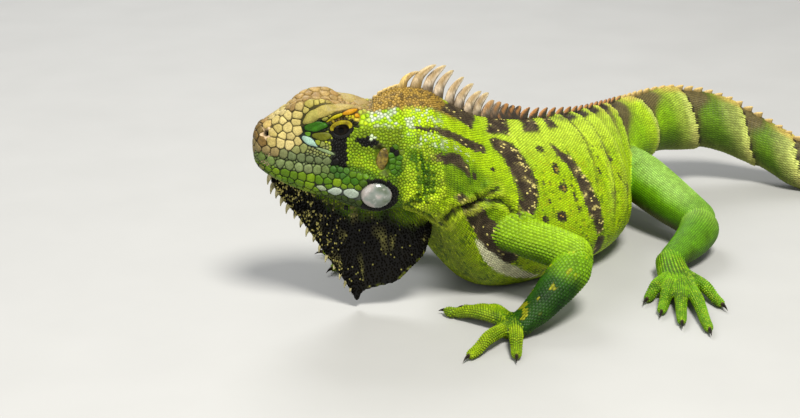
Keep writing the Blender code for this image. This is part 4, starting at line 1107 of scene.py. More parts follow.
def paint_head(f, p, dice):
    """Colour of each head scale from its place in the head's own frame."""
    a, lat, h = f[:, 0], np.abs(f[:, 1]), f[:, 2]
    n1, n2 = wobble(p, 8, 11), wobble(p, 2.6, 12)
    lip, _ = line_distance(f[:, [0, 2]], MOUTH)
    over = h > np.interp(a, *np.transpose(MOUTH))
    c = layers(mixed(LIME, LEAF, 0.35 + 0.5 * n1 + 0.4 * n2),
               (YELLOW, 0.35 * (dice < 0.25) * step(2, 6, a)))
    c = snout_and_nape(c, f, a, lat, h, over, dice, n1, n2)
    c = face_and_jaw(c, a, lat, h, lip, over, n1, n2)
    return dark_face(c, a, lat, h, over, dice, n2)


# ---- scales
# Scale shapes: points (along, across, height) and triangles; heights below 0 are sunk
LEAF_SHAPE = (np.array([(-0.55, 0, -1), (-0.22, 0.5, -1), (0.30, 0.44, -0.6), (0.60, 0, -0.1),
                        (0.30, -0.44, -0.6), (-0.22, -0.5, -1), (-0.12, 0, 0.62), (0.38, 0, 1)]),
              [(0, 6, 1), (1, 6, 7), (1, 7, 2), (2, 7, 3), (0, 5, 6), (5, 7, 6), (5, 4, 7), (4, 3, 7)])
KEEL_SHAPE = (np.array([(-0.55, 0, -1), (-0.30, 0.46, -1), (0.15, 0.50, -0.8), (0.45, 0.26, -0.3),
                        (0.66, 0, 0.45), (0.45, -0.26, -0.3), (0.15, -0.50, -0.8), (-0.30, -0.46, -1),
                        (-0.22, 0, 0.55), (0.42, 0, 1.1)]),
              [(0, 8, 1), (1, 8, 2), (2, 8, 9), (2, 9, 3), (3, 9, 4), (0, 7, 8), (7, 6, 8), (6, 9, 8),
               (6, 5, 9), (5, 4, 9)])
CONE_SHAPE = (np.array([(0.5 * math.cos(w), 0.5 * math.sin(w), -1) for w in np.radians(range(0, 360, 60))]
                       + [(0.22 + 0.22 * math.cos(w), 0.22 * math.sin(w), 0.62)
                          for w in np.radians(range(0, 360, 120))] + [(0.45, 0, 1)]),
              [(0, 1, 6), (1, 7, 6), (1, 2, 7), (2, 3, 7), (3, 8, 7), (3, 4, 8), (4, 5, 8), (5, 6, 8),
               (5, 0, 6), (6, 7, 9), (7, 8, 9), (8, 6, 9)])
SINK = 0.26                       # how deep a scale's root is sunk
STRAY = dict(body=1.5, limb=1.3, fan=0.8)   # how far off the skin a scale may still root
PATCH = 0.0015                    # half of a scale's patch on the coat's unwrap


class Coat:
    """Many scales gathered into one mesh, with a colour and an unwrap place each."""

    def __init__(self, name):
        self.name, self.count = name, 0
        self.points, self.faces, self.colours, self.places = [], [], [], []

    def add(self, points, faces, colours, places):
        n, k = points.shape[:2]
        self.points.append(points.reshape(-1, 3))
        self.faces.append((np.asarray(faces)[None] + self.count
                           + (np.arange(n) * k)[:, None, None]).reshape(-1, 3))
        self.colours.append(colours.reshape(-1, 3))
        self.places.append(places.reshape(-1, 2))
        self.count += n * k

    def lay(self, shape, at, normal, lie, size, colour, place):
        """size is length, width, height of each scale; place is its root on the unwrap."""
        pts, faces = shape
        lie = unit(lie - normal * (lie * normal).sum(-1, keepdims=True))
        across = np.cross(normal, lie)
        z = np.where(pts[:, 2] < 0, pts[:, 2] * SINK, 0)[None] + np.maximum(pts[:, 2], 0) * size[:, 2:3]
        points = (at[:, None] + lie[:, None] * (pts[None, :, :1] * size[:, None, :1])
                  + across[:, None] * (pts[None, :, 1:2] * size[:, None, 1:2])
                  + normal[:, None] * z[..., None])
        points[..., 2] = np.maximum(points[..., 2], 0)
        # Painted shade and highlight: each scale is darker at its sunk rim and lighter towards its raised
        # tip.
        relief_shade = 0.68 + 0.40 * np.clip(pts[:, 2], -0.5, 1)
        self.add(points, faces, colour[:, None] * relief_shade[None, :, None],
                 place[:, None] + pts[None, :, :2] * PATCH)

    def grow(self, shape, at, normal, lie, size, colour, uneven, place):
        """Lays scales of uneven colour, and notes their roots for the skin beneath."""
        colour = shade(colour, uneven)
        ROOTS.append((at, colour))
        self.lay(shape, at, normal, unit(lie), size, colour, place)

    def build(self, material, slot):
        points, faces = np.concatenate(self.points), np.concatenate(self.faces)
        colours, places = np.concatenate(self.colours), np.concatenate(self.places)
        mesh = bpy.data.meshes.new(self.name)
        mesh.vertices.add(len(points))
        mesh.vertices.foreach_set('co', (points * MM).ravel())
        mesh.loops.add(faces.size)
        mesh.loops.foreach_set('vertex_index', faces.ravel())
        mesh.polygons.add(len(faces))
        mesh.polygons.foreach_set('loop_start', np.arange(0, faces.size, 3))
        mesh.polygons.foreach_set('use_smooth', np.ones(len(faces), bool))
        mesh.update(calc_edges=True)
        layer = mesh.uv_layers.new(name='OFBake')
        layer.data.foreach_set('uv', np.clip(places, 0.001, 0.999)[faces.ravel()].ravel())
        stain(mesh, colours)
        mesh.validate()
        mesh.materials.append(material)
        ob = new_object(self.name, mesh)
        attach(ob, 'root')
        return ob


def stain(mesh, colours):
    layer = mesh.color_attributes.new('tint', 'FLOAT_COLOR', 'POINT')
    layer.data.foreach_set('color', np.concatenate([colours, np.ones((len(colours), 1))], 1).ravel())


ROOTS = []                        # every scale's root and colour, for the skin beneath


def shade(colour, amount):
    """Each scale a little lighter or darker than its neighbours."""
    return share(colour * (1 + amount * (rng.random(len(colour)) - 0.5))[:, None])


def inset(x):
    """From 0 and 1 to just inside them, so that patches stay on the unwrap."""
    return 0.01 + 0.98 * x


def body_rows(low, high, pitch, spacing):
    """Staggered rows round the body: pitch and spacing are functions of s."""
    rows, s, odd = [], low, 0
    while s < high:
        n = max(5, int(round(half_girth(s) / spacing(s))))
        v = (np.arange(n) + 0.5 * odd + 0.25) / n
        v = v[v < 1]
        rows.append(columns(np.full(2 * len(v), s), np.concatenate([v, -v])))
        s += pitch(s)
        odd = 1 - odd
    return np.concatenate(rows)


def lay_body(coat, low, high, pitch, spacing, height, shape, reach):
    rows = body_rows(low, high, pitch, spacing)
    s, v = rows.T
    s = s + 0.22 * pitch(low) * (rng.random(len(s)) - 0.5)
    at = body_at(s, v, -COAT)
    lie = body_at(s + 0.6, v, -COAT) - at
    place, normal, off = surface.snap(at)
    keep = (off < STRAY['body']) & (at[:, 2] > 0.3) & (s > NAPE_TO + 3 + 0.8 * np.sin(40 * v))
    s, v, at, place, normal, lie = (x[keep] for x in (s, v, at, place, normal, lie))
    dice = rng.random(len(s))
    stretch = np.clip(norm(lie) / 0.6, 0.7, 2)
    size = columns(pitch(s) * 1.28 * stretch, spacing(s) * 1.05, height(s, v))
    size *= (0.9 + 0.2 * rng.random(len(s)))[:, None]
    colour = paint_body(s, v, place, dice)
    unwrap = columns(inset((s - reach[0]) / (reach[1] - reach[0])), 0.5 + 0.49 * v)
    coat.grow(shape, place, normal, lie, size, colour, 0.30, unwrap)


def lay_trunk(name, low, high):
    def pitch(s):
        return np.interp(s, [0, 40, 90, 226], [1, 1.22, 1.36, 1.6])

    def height(s, v):
        return (0.34 + 0.55 * np.exp(-(np.abs(v) / 0.16) ** 4) * step(26, 14, s)
                + 0.12 * step(60, 20, s))
    coat = Coat(name)
    lay_body(coat, low, high, pitch, pitch, height, LEAF_SHAPE, (low, high))
    return coat


def lay_tail():
    def along(values):
        return lambda s: np.interp(s, [226, 330, 600, 840], values)
    coat = Coat('coat_tail')
    lay_body(coat, 226, TAIL_END - 0.8, along([1.9, 2.2, 1.8, 1.3]), along([1.5, 1.5, 1.1, 0.8]),
             lambda s, v: np.full(len(s), 0.42), KEEL_SHAPE, (226, TAIL_END))
    return coat


# Pitch along and round a limb, height and shape of its scales
LIMB_SCALES = dict(
    upper=(2.1, 1.75, 0.80, KEEL_SHAPE), fore=(1.8, 1.6, 0.6, KEEL_SHAPE),
    palm=(1.7, 1.55, 0.42, KEEL_SHAPE), finger=(1.45, 1.35, 0.62, CONE_SHAPE),
    thigh=(1.35, 1.3, 0.24, LEAF_SHAPE), shank=(1.4, 1.35, 0.28, LEAF_SHAPE),
    sole=(1.6, 1.5, 0.34, LEAF_SHAPE), toe=(1.55, 1.4, 0.56, CONE_SHAPE))


def lay_limbs(name, kinds):
    coat = Coat(name)
    tubes = [t for t in TUBES if t['kind'] in kinds]
    for number, tube in enumerate(tubes):
        limb, kind = tube['limb'], tube['kind']
        pitch, spacing, height, shape = LIMB_SCALES[kind]
        a, b = limb.across(limb.length / 2), limb.upright(limb.length / 2)
        around = int(round(math.pi * (a + b) / spacing / 2)) * 2
        s0, s1 = -0.75 * limb.across(0), limb.length + 0.8 * limb.across(limb.length)
        s, j = np.meshgrid(np.arange(s0, s1, pitch), np.arange(around), indexing='ij')
        s = (s + 0.5 * pitch * (j % 2)).ravel()
        turn = (2 * math.pi * j / around).ravel()
        at = limb.at(s, turn, -COAT)
        lie = limb.at(s + 0.5, turn, -COAT) - at
        place, normal, off = surface.snap(at)
        keep = (off < STRAY['limb']) & (at[:, 2] > 0.25) & (norm(lie) > 0.05)
        s, turn, place, normal, lie = (x[keep] for x in (s, turn, place, normal, lie))
        dice = rng.random(len(s))
        fit = np.clip(limb.across(np.clip(s, 0, limb.length)) / a, 0.6, 1.2)
        size = columns(np.full(len(s), pitch * 1.2), spacing * fit * 1.08, height * (0.5 + 0.5 * fit))
        colour = paint_limb(kind, s, limb.length, turn, place, dice, tube['side'])
        if kind in ('upper', 'thigh'):
            body = paint_body(*body_frame(place)[:2], place, dice)
            colour = blend(body, colour, step(-1, 8, s))
            size *= (0.55 + 0.45 * step(-3, 11, s))[:, None]
        lane = (number + 0.06 + 0.88 * turn / (2 * math.pi)) / len(tubes)
        unwrap = columns(inset((s - s0) / (s1 - s0)), lane)
        coat.grow(shape, place, normal, lie, size, colour, 0.28, unwrap)
    return coat


def lay_fan():
    coat, pitch = Coat('coat_dewlap'), 1.45
    edge = np.linspace(0, FAN_N - 1, 300)
    for side in (1, -1):
        rows = []
        for n, v in enumerate(np.arange(0, 0.995, pitch / 48)):
            c = chord(fan_at(edge, v, side))
            marks = np.arange(0.4 + (n % 2) * pitch / 2, c[-1], pitch)
            rows.append(columns(np.interp(marks, c, edge), np.full(len(marks), v)))
        i, v = np.concatenate(rows).T
        i = i + 0.16 * (rng.random(len(i)) - 0.5)
        v = share(v + 0.014 * (rng.random(len(v)) - 0.5))
        at, below, over = (fan_at(i, share(v + shift), side, -0.15) for shift in (0, 0.02, -0.01))
        place, normal, off = surface.snap(at)
        keep = off < STRAY['fan']
        i, v, place, normal, lie = (x[keep] for x in (i, v, place, normal, below - over))
        dice = rng.random(len(i))
        size = columns(np.full(len(i), 1.5), np.full(len(i), 1.25), 0.32 + 0.25 * rng.random(len(i)))
        colour = paint_fan(i, v, place, dice)
        unwrap = columns(inset(i / (FAN_N - 1)), 0.25 + 0.5 * (side < 0) + 0.24 * (v - 0.5) * 1.9)
        coat.grow(CONE_SHAPE, place, normal, lie, size, colour, 0.35, unwrap)
    return coat


# ---- head plates
HEAD_POINTS = 130000              # random places that the plates gather round
CLOSEST = 0.93                    # how near two plates' middles may be, in their half sizes' sum
WIDEST = 2.3                      # over every half size but the largest long plates'
PLATE_GAP = (0.01, 0.055)         # gap round a plate, and what its half size adds to that
PLATE_HEIGHT = (0.22, 0.20)       # its height, and what its half size adds to that
BIG_PLATE = 1.1                   # plates with a larger half size have more sides
UNWRAP_FROM, UNWRAP_LENGTH = 42, 75   # how far ahead the head's unwrap starts, and its length
SNOUT_PLATES = [(-24, 15.2), (-18.6, 19.4), (-13.6, 21.4), (-24.4, 12.4), (-19.4, 15.6), (-24, 9.2),
                (-18.9, 12), (-19.4, 8.4), (-28.6, 8.6), (-23.6, 5.4), (-19.6, 4.8), (-27.6, 2.2),
                (-23, 1.6), (-19.4, 1.2), (-29.6, 12.2), (-33.8, 9.8), (-31.4, 2.2), (-36.4, 1.6)]
CHIN_PLATES = [(-25.2, -12.3, 1.9), (-21.4, -13.2, 1.9), (-17.6, -13.6, 2), (-13.4, -14.2, 1.9),
               (-9.4, -14.6, 1.8), (-5.4, -15.2, 1.8), (-0.8, -15.6, 1.8), (3.6, -14.4, 1.8),
               (7.6, -14.6, 1.7), (11.4, -15, 1.5), (-14.2, -18, 2), (-18.6, -17, 1.8)]
# Lower lip scales: place along the head, half size
LOWER_LIP = [(-36.8, 2.1), (-32.4, 2.2), (-27.9, 2.2), (-23.4, 2.2), (-18.9, 2.2), (-14.5, 2.1),
             (-10.3, 2), (-6.3, 1.9), (-2.6, 1.7), (0.6, 1.4), (3.4, 1.3)]
# Long smooth plates: their middle line, half widths along it, and colour. Places are along
# the head and up it as seen from the side and PLATE_VIEW above
PLATE_VIEW = math.radians(18)
LONG_PLATES = [
    ([(-16.6, 0.5), (-13.3, -1.6), (-10.2, -3.6)], [1.5, 1.7, 0.5], SKY),
    ([(-10.6, -4.3), (-6.1, -5.8), (-2.4, -7.3)], [0.5, 0.8, 0.8], rgb(116, 134, 96)),
    ([(-15, 5), (-10.9, 5.5), (-6.4, 6.2)], [2, 2.7, 1.5], rgb(46, 98, 4)),
    ([(-12.1, 1.3), (-8, 0.8), (-4.8, 0.1)], [1.3, 2, 1.3], rgb(88, 92, 10)),
    ([(-16.2, 7.3), (-13, 9.8), (-9.4, 11.9)], [1.2, 2.7, 2.9], rgb(148, 140, 70)),
    ([(-11.2, 11.1), (-6.3, 13), (-1.6, 14)], [2.7, 2.7, 2.3], rgb(158, 144, 76)),
    ([(-3.2, 13.7), (1.8, 14.4), (6.8, 14.8)], [2.3, 1.8, 1.5], rgb(158, 140, 82)),
    ([(5.4, 14.6), (9.4, 14.7), (13, 14.3)], [1.5, 1.2, 0.8], rgb(150, 130, 82)),
    ([(-5.7, 7.5), (-2.1, 9.8), (1.6, 11.2)], [0.5, 0.7, 0.8], rgb(176, 166, 16)),
    ([(2, 11.3), (4.8, 12), (8.2, 12.9)], [0.8, 1, 0.6], rgb(186, 134, 12)),
    ([(-10.4, -22.2), (-8.3, -22.9), (-6.6, -23.5)], [0.7, 1.2, 0.9], rgb(140, 152, 126)),
    ([(-5.2, -24.3), (-2.1, -24.4), (0.4, -24.5)], [0.7, 1.9, 1.7], rgb(160, 174, 164)),
    ([(2.8, -24.9), (5.4, -25.3), (8, -25.7)], [1.6, 2.4, 2.3], rgb(160, 174, 164)),
]


def side_place(along, height, side, above=0):
    """Point of the plain skin straight in from the head's side, or from an angle above it."""
    c, s = math.cos(above), math.sin(above)
    start = head_place(along, side * (45 * c - height * s), height * c + 45 * s)
    way = head_way(0, -side * c, -s)
    hit = surface.tree.ray_cast(Vector(start), Vector(way))
    if hit[0] is None:
        hit = surface.tree.find_nearest(Vector(start + way * 33))
    return np.array(hit[0])


def plate_rows():
    """Lip scales and the big plates of snout and jaw on both sides: places, half sizes, and
    which of them only hold the long plates' room free."""
    def mouth(a):
        return np.interp(a, *np.transpose(MOUTH))

    marks = [(a, mouth(a) + 2.15, r) for a, r in zip(np.arange(-38.6, 1.5, 4.15), np.linspace(2.1, 1.8, 10))]
    marks += [(a, mouth(a) - 0.3 - 0.9 * r, r) for a, r in LOWER_LIP]
    marks += [(a, h, 2.1) for a, h in SNOUT_PLATES] + CHIN_PLATES
    held = len(marks)
    for line, half, _ in LONG_PLATES:
        way = chord(line)
        for m in np.linspace(0, way[-1], int(way[-1] / 0.9) + 2):
            a, h = (np.interp(m, way, values) for values in np.transpose(line))
            marks.append((a, h, max(0.35, np.interp(m, way, half) * 0.95)))
    rows = [(*side_place(a, h, side, PLATE_VIEW if n >= held else 0), r, n >= held)
            for side in (1, -1) for n, (a, h, r) in enumerate(marks)]
    rows = np.array(sorted(rows, key=lambda row: not row[4]))
    return rows[:, :3], rows[:, 3], rows[:, 4] > 0


def head_grain(f):
    """Half the spacing of the scales at each place of the head; the last rule that fits wins."""
    a, lat, h = f[:, 0], np.abs(f[:, 1]), f[:, 2]
    r = np.full(len(f), 0.62)
    for test, size in (
            ((h > 11) & (a < 16), 1.25 - 0.012 * (a + 15)),
            ((h > 15) & (a < -1) & (lat < 12), 2),
            ((a < -15) & (h > -4), 1.75),
            ((a < -6) & (a >= -15) & (h > 1) & (h < 13), 1.2),
            (np.hypot(a - EYE[0], (h - EYE[2]) * 1.2) < 9, 0.60),
            ((h < -10) & (a < 14) & (lat > 7), 1.35),
            ((h < -14) & (lat < 9), 0.95),
            ((h > 13) & (a > 14), 0.68),
            (oval(a, h, (26, -4), (4.4, 7)) < 1, 1.15),
            (a > 30, 0.58)):
        r = np.where(test, size, r)
    return r


def bare(f):
    """Places the plates leave free: eye openings, ear drums, cheek shields, nostrils."""
    a, lat, h = f[:, 0], np.abs(f[:, 1]), f[:, 2]
    lids = np.where(above_eye(a, h) > 0.4, 1.60, 1.30)
    return ((eye_ring(a, h) < lids) & (lat > 4) | (ear_ring(a, h) < 1.22) & (lat > 8)
            | (shield_ring(a, h) < 1.08) & (lat > 8)
            | (norm(columns(a, lat, h) - NOSTRIL) < 2.9))


def tree_of(points):
    tree = kdtree.KDTree(len(points))
    for n, p in enumerate(points.tolist()):
        tree.insert(p, n)
    tree.balance()
    return tree


def head_places():
    """Random places on the plain skin where the head's plates and the nape's scales grow."""
    corners = surface.plain[surface.tri]
    mid = corners.mean(1)
    f = head_frame(mid)
    s, v, _ = body_frame(mid)
    on = (f[:, 0] < 31.5) & (f[:, 2] > -33) & (np.abs(f[:, 1]) < 23)
    on |= (s > 0.3) & (s < NAPE_TO + 3) & (f[:, 0] > 20) & on_body(s, v, mid)
    on &= ~((fan_near(mid) < 0.7) & (f[:, 2] < -18))
    a, b, c = corners[on].transpose(1, 0, 2)
    area = norm(np.cross(b - a, c - a)) / 2
    n = rng.choice(len(a), HEAD_POINTS, p=area / area.sum())
    w1, w2 = rng.random(len(n)), rng.random(len(n))
    past = w1 + w2 > 1
    w1, w2 = (np.where(past, 1 - w, w)[:, None] for w in (w1, w2))
    cloud = a[n] + (b - a)[n] * w1 + (c - a)[n] * w2
    return cloud[~bare(head_frame(cloud))]


def on_body(s, v, p):
    return norm(body_at(s, v, -COAT) - p) < 3


def head_seeds():
    """Middles and half sizes of the head's plates, spread evenly, and which stay empty."""
    cloud = head_places()
    big, big_r, ghost = plate_rows()
    ok = ~bare(head_frame(big)) | ghost
    big, big_r, ghost = big[ok], big_r[ok], ghost[ok]
    points = np.concatenate([big, cloud])
    radius = np.concatenate([big_r, head_grain(head_frame(cloud))])
    ghost = np.concatenate([ghost, np.zeros(len(cloud), bool)])
    tree, alive, chosen = tree_of(points), np.ones(len(points), bool), []
    for n in range(len(points)):
        if not alive[n]:
            continue
        chosen.append(n)
        for _, m, d in tree.find_range(points[n], radius[n] + WIDEST):
            if m > n and not ghost[m] and d < CLOSEST * (radius[n] + radius[m]):
                alive[m] = False
    chosen = np.array(chosen)
    seeds, sizes, fixed = points[chosen], radius[chosen], chosen < len(big)
    for _ in range(3):
        near = tree_of(seeds)
        owner = np.array([min(near.find_n(p, 4), key=lambda h: h[2] / sizes[h[1]])[1]
                          for p in cloud.tolist()])
        count = np.maximum(np.bincount(owner, minlength=len(seeds)), 1)
        mean = np.stack([np.bincount(owner, cloud[:, k], len(seeds)) for k in range(3)], -1) / count[:, None]
        seeds = choose(fixed | (count < 4), seeds, mean)
    return seeds, sizes, ghost[chosen]


def fan_near(p):
    """How far points are from the throat fan's sides."""
    grid = np.meshgrid(np.linspace(0, FAN_N - 1, 80), np.linspace(0, 1, 40), indexing='ij')
    i, v = (g.ravel() for g in grid)
    tree = tree_of(np.concatenate([fan_at(i, v, side, -0.15) for side in (1, -1)]))
    return np.array([tree.find(q)[2] for q in p.tolist()])


def tiers(count, turns):
    """Faces of rings of points laid one above another and closed at a tip."""
    faces, tip = [], count * turns
    for j in range(tip - turns):
        low = j - j % turns
        i, above = low + (j + 1) % turns, j + turns
        faces += [(j, i, i + turns), (j, i + turns, above)]
    return faces + [(tip - turns + j, tip - turns + (j + 1) % turns, tip) for j in range(turns)]


def patch(angle, rings):
    """A plate's points on the coat's unwrap, about its root."""
    circle = columns(np.cos(angle), np.sin(angle))
    return np.concatenate([circle * part for part, _ in rings] + [np.zeros((1, 2))]) * PATCH


def plates(coat, seeds, sizes, pick, turns, rings, place, up, colour, unwrap):
    """Adds many-sided plates: each reaches half way to its neighbours, less a gap.
    rings are (share of the reach, height as a share of the plate's height)."""
    near = tree_of(seeds)
    found = [near.find_n(seeds[n], 15)[1:] for n in pick]
    index = np.array([[h[1] for h in row] for row in found])
    gap = np.array([[h[2] for h in row] for row in found])
    own, middle = sizes[pick][:, None], seeds[pick][:, None]
    ahead = head_way(1, 0, -0.1)
    lie = unit(np.cross(np.cross(up, ahead), up) + 1e-6)
    across = np.cross(up, lie)
    way = seeds[index] - middle
    bearing = np.arctan2((way * across[:, None]).sum(-1), (way * lie[:, None]).sum(-1))
    wall = gap * own / (own + sizes[index])
    angle = turns_of(turns) + 0.2
    lean = np.cos(angle[None, :, None] - bearing[:, None, :])
    reach = np.where(lean > 0.12, (wall[:, None, :] - PLATE_GAP[0] - PLATE_GAP[1] * own[..., None])
                     / np.maximum(lean, 0.12), 99).min(-1)
    reach = np.minimum(reach, 1.5 * own)
    height = (PLATE_HEIGHT[0] + PLATE_HEIGHT[1] * own) * (0.85 + 0.3 * rng.random(len(own)))[:, None]
    points = []
    for part, rise in rings:
        flat = (middle + lie[:, None] * (reach * part * np.cos(angle))[..., None]
                + across[:, None] * (reach * part * np.sin(angle))[..., None])
        spot, facing, _ = surface.snap(flat.reshape(-1, 3))
        facing = unit(facing.reshape(flat.shape) + up[:, None])
        lift = -SINK if rise < 0 else (rise * height)[..., None]
        points.append(spot.reshape(flat.shape) + facing * lift)
    points.append((place + up * height)[:, None])
    level = np.concatenate([np.repeat([max(rise, 0) for _, rise in rings], turns), [1]])
    # Painted shade and highlight: each plate is darker at its sunk rim and lighter towards its top.
    relief_shade = 0.52 + 0.5 * np.minimum(level * 1.25, 1)
    coat.add(np.concatenate(points, 1), tiers(len(rings), turns), colour[:, None] * relief_shade[None, :, None],
             unwrap[:, None] + patch(angle, rings)[None])


def round_off(x, power):
    """A cosine or sine made flatter at its top."""
    return np.sign(x) * np.abs(x) ** power


def long_plates(coat):
    """The smooth plates of brow, cheek and jaw that are longer than they are wide."""
    turns = 22
    angle = turns_of(turns)
    rings = ((1, -1), (0.95, 0.5), (0.80, 0.88), (0.42, 1))
    u = 0.5 - 0.5 * round_off(np.cos(angle), 0.8)
    for side, faces in ((1, [(a, c, b) for a, b, c in tiers(4, turns)]), (-1, tiers(4, turns))):
        for line, half, colour in LONG_PLATES:
            line, way = np.array(line), chord(line)
            mid = np.stack([np.interp(u, way / way[-1], line[:, k]) for k in (0, 1)], -1)
            ahead = unit(line[-1] - line[0])
            width = np.interp(u, way / way[-1], half) * round_off(np.sin(angle), 0.7)
            ends = np.where(u < 0.5, -half[0], half[-1]) * np.abs(np.cos(angle)) ** 3 * 0.6
            edge = mid + np.array([-ahead[1], ahead[0]]) * width[:, None] + ahead * ends[:, None]
            centre, size = edge.mean(0), 0.26 + 0.16 * max(half)
            points, spots = [], []
            for part, rise in (*rings, (0, 1.05)):
                flat = centre + (edge - centre) * part if part else centre[None]
                sides = [side_place(a, h, side, PLATE_VIEW) for a, h in flat]
                spot, facing, _ = surface.snap(np.array(sides))
                spots.append(spot)
                points.append(spot + unit(facing) * (-SINK if rise < 0 else rise * size))
            on_brow = line[0, 1] > 7 and max(half) > 1.1
            # Painted shade: the plate's sunk edge and the skin round it are darkened, less so on the brow.
            edge_shade, gap_shade = (0.8, 0.9) if on_brow else (0.5, 0.3)
            relief_shade = np.append(np.repeat([edge_shade, 0.95, 1, 1.02], turns), 1.02)
            root = np.array([inset((centre[0] + UNWRAP_FROM) / UNWRAP_LENGTH), 0.5 + 0.25 * side])
            spots = np.concatenate(spots)
            ROOTS.append((spots, np.repeat(gap_shade * colour[None], len(spots), 0)))
            coat.add(np.concatenate(points)[None], faces, (colour * relief_shade[:, None])[None],
                     (root + patch(angle, rings))[None])


def lay_head():
    seeds, sizes, ghosts = head_seeds()
    place, normal, _ = surface.snap(seeds)
    f = head_frame(seeds)
    s, v, _ = body_frame(seeds)
    on_neck = (f[:, 0] > 20) & (s > 0.5) & on_body(s, v, seeds)
    dice = rng.random(len(seeds))
    colour = blend(paint_head(f, seeds, dice), paint_body(s, v, seeds, dice),
                   np.where(on_neck, step(27.5, 33, f[:, 0]), 0))
    colour = shade(colour, 0.26)
    ROOTS.append((place[~ghosts], colour[~ghosts]))
    spread = np.arctan2(f[:, 1], f[:, 2] + 4) / (2 * math.pi) + 0.5
    unwrap = choose(on_neck, columns(inset(s / (NAPE_TO + 6)), 0.5 + 0.49 * v),
                    columns(inset((f[:, 0] + UNWRAP_FROM) / UNWRAP_LENGTH), inset(spread)))
    coats = Coat('coat_head'), Coat('coat_nape')
    for coat, mine in zip(coats, (~on_neck & ~ghosts, on_neck & ~ghosts)):
        for of_size, turns, rings in (
                (sizes > BIG_PLATE, 16, ((1, -1), (0.95, 0.50), (0.82, 0.86), (0.45, 1))),
                (sizes <= BIG_PLATE, 8, ((1, -1), (0.86, 0.55), (0.48, 0.95)))):
            pick = np.nonzero(mine & of_size)[0]
            if len(pick):
                plates(coat, seeds, sizes, pick, turns, rings, place[pick], normal[pick],
                       colour[pick], unwrap[pick])
    long_plates(coats[0])
    return coats


# ---- materials
class Wire:
    """A socket that does arithmetic."""

    def __init__(self, finish, socket):
        self.finish, self.socket = finish, socket

    def calc(self, kind, *values):
        return self.finish.node('ShaderNodeMath', dict(operation=kind), *values)['Value']

    def __add__(self, o):
        return self.calc('ADD', self, o)

    def __mul__(self, o):
        return self.calc('MULTIPLY', self, o)

    __radd__, __rmul__ = __add__, __mul__

    def rise(self, low, high):
        out = self.finish.node('ShaderNodeMapRange', dict(interpolation_type='SMOOTHSTEP'),
                               Value=self, From_Min=low, From_Max=high)
        return out['Result']


class Sockets(dict):
    """A node's outputs by name, each as a Wire."""

    def __init__(self, finish, node):
        super().__init__((o.name, Wire(finish, o)) for o in node.outputs if o.enabled)


class Finish:
    """A material and its nodes."""

    def __init__(self, name):
        self.material = bpy.data.materials.new(name)
        self.material.use_nodes = True
        self.tree = self.material.node_tree
        self.shader = self.tree.nodes['Principled BSDF']

    def feed(self, socket, value):
        if isinstance(value, Wire):
            self.tree.links.new(value.socket, socket)
        elif hasattr(value, '__len__') and len(value) == 3 and socket.type == 'RGBA':
            socket.default_value = (*value, 1)
        else:
            socket.default_value = value

    def node(self, kind, settings, *values, **named):
        node = self.tree.nodes.new(kind)
        for key, value in settings.items():
            if key == 'stops':
                ramp = node.color_ramp
                while len(ramp.elements) < len(value):
                    ramp.elements.new(0.5)
                for element, (where, colour) in zip(ramp.elements, value):
                    element.position = where
                    element.color = (*colour, 1)
            else:
                setattr(node, key, value)
        for socket, value in zip(node.inputs, values):
            self.feed(socket, value)
        inputs = {s.name: s for s in node.inputs if s.enabled}
        for key, value in named.items():
            self.feed(inputs[key.replace('_', ' ')], value)
        return Sockets(self, node)

    def mix(self, a, b, part, kind='MIX'):
        return self.node('ShaderNodeMix', dict(data_type='RGBA', blend_type=kind), Factor=part,
                         A=a, B=b)['Result']

    def noise(self, scale, detail=3, rough=0.5, stretch=None):
        place = self.node('ShaderNodeTexCoord', {})['Object']
        if stretch:
            place = self.node('ShaderNodeMapping', {}, Vector=place, Scale=stretch)['Vector']
        return self.node('ShaderNodeTexNoise', {}, Vector=place, Scale=scale, Detail=detail,
                         Roughness=rough)['Fac']

    def ramp(self, value, *stops):
        return self.node('ShaderNodeValToRGB', dict(stops=stops), Fac=value)['Color']

    def varied(self, colour, grain, dark, light):
        """The colour times dark or light where the grain is low or high."""
        return self.mix(colour, self.mix(dark, light, grain.rise(0.3, 0.7)), 1, 'MULTIPLY')

    def tint(self):
        return self.node('ShaderNodeAttribute', dict(attribute_name='tint'))['Color']

    def bump(self, height, strength, distance):
        return self.node('ShaderNodeBump', {}, Strength=strength, Distance=distance, Height=height)['Normal']

    def done(self, **values):
        for key, value in values.items():
            self.feed(self.shader.inputs[key.replace('_', ' ')], value)
        return self.material


def scale_finish(name, rough, grain, shine=0.2):
    m = Finish(name)
    fine, broad = m.noise(1500, 2), m.noise(240, 3)
    colour = m.varied(m.tint(), fine, (0.80, 0.80, 0.76), (1.16, 1.16, 1.10))
    colour = m.varied(colour, broad, (0.86, 0.84, 0.80), (1.08, 1.09, 1.06))
    return m.done(Base_Color=colour, Roughness=fine * 0.22 + rough,
                  Normal=m.bump(m.noise(3600, 2), grain, 0.00012), Specular_IOR_Level=shine)


def horn_finish(name, rough, shine=0.45):
    m = Finish(name)
    streak = m.noise(2300, 3, stretch=(1, 1, 0.22))
    colour = m.varied(m.tint(), streak, (0.72, 0.70, 0.66), (1.2, 1.2, 1.16))
    return m.done(Base_Color=colour, Roughness=streak * 0.2 + rough,
                  Normal=m.bump(streak, 0.35, 0.0002), Specular_IOR_Level=shine)


def eye_finish():
    m = Finish('eye_wet_gloss')
    fibre = m.noise(2600, 4, 0.6)
    colour = m.varied(m.tint(), fibre, (0.55, 0.5, 0.45), (1.5, 1.4, 1.2))
    return m.done(Base_Color=colour, Roughness=fibre * 0.04 + 0.10, Coat_Weight=0.30,
                  Coat_Roughness=0.02, Coat_IOR=1.3, Specular_IOR_Level=0.05)


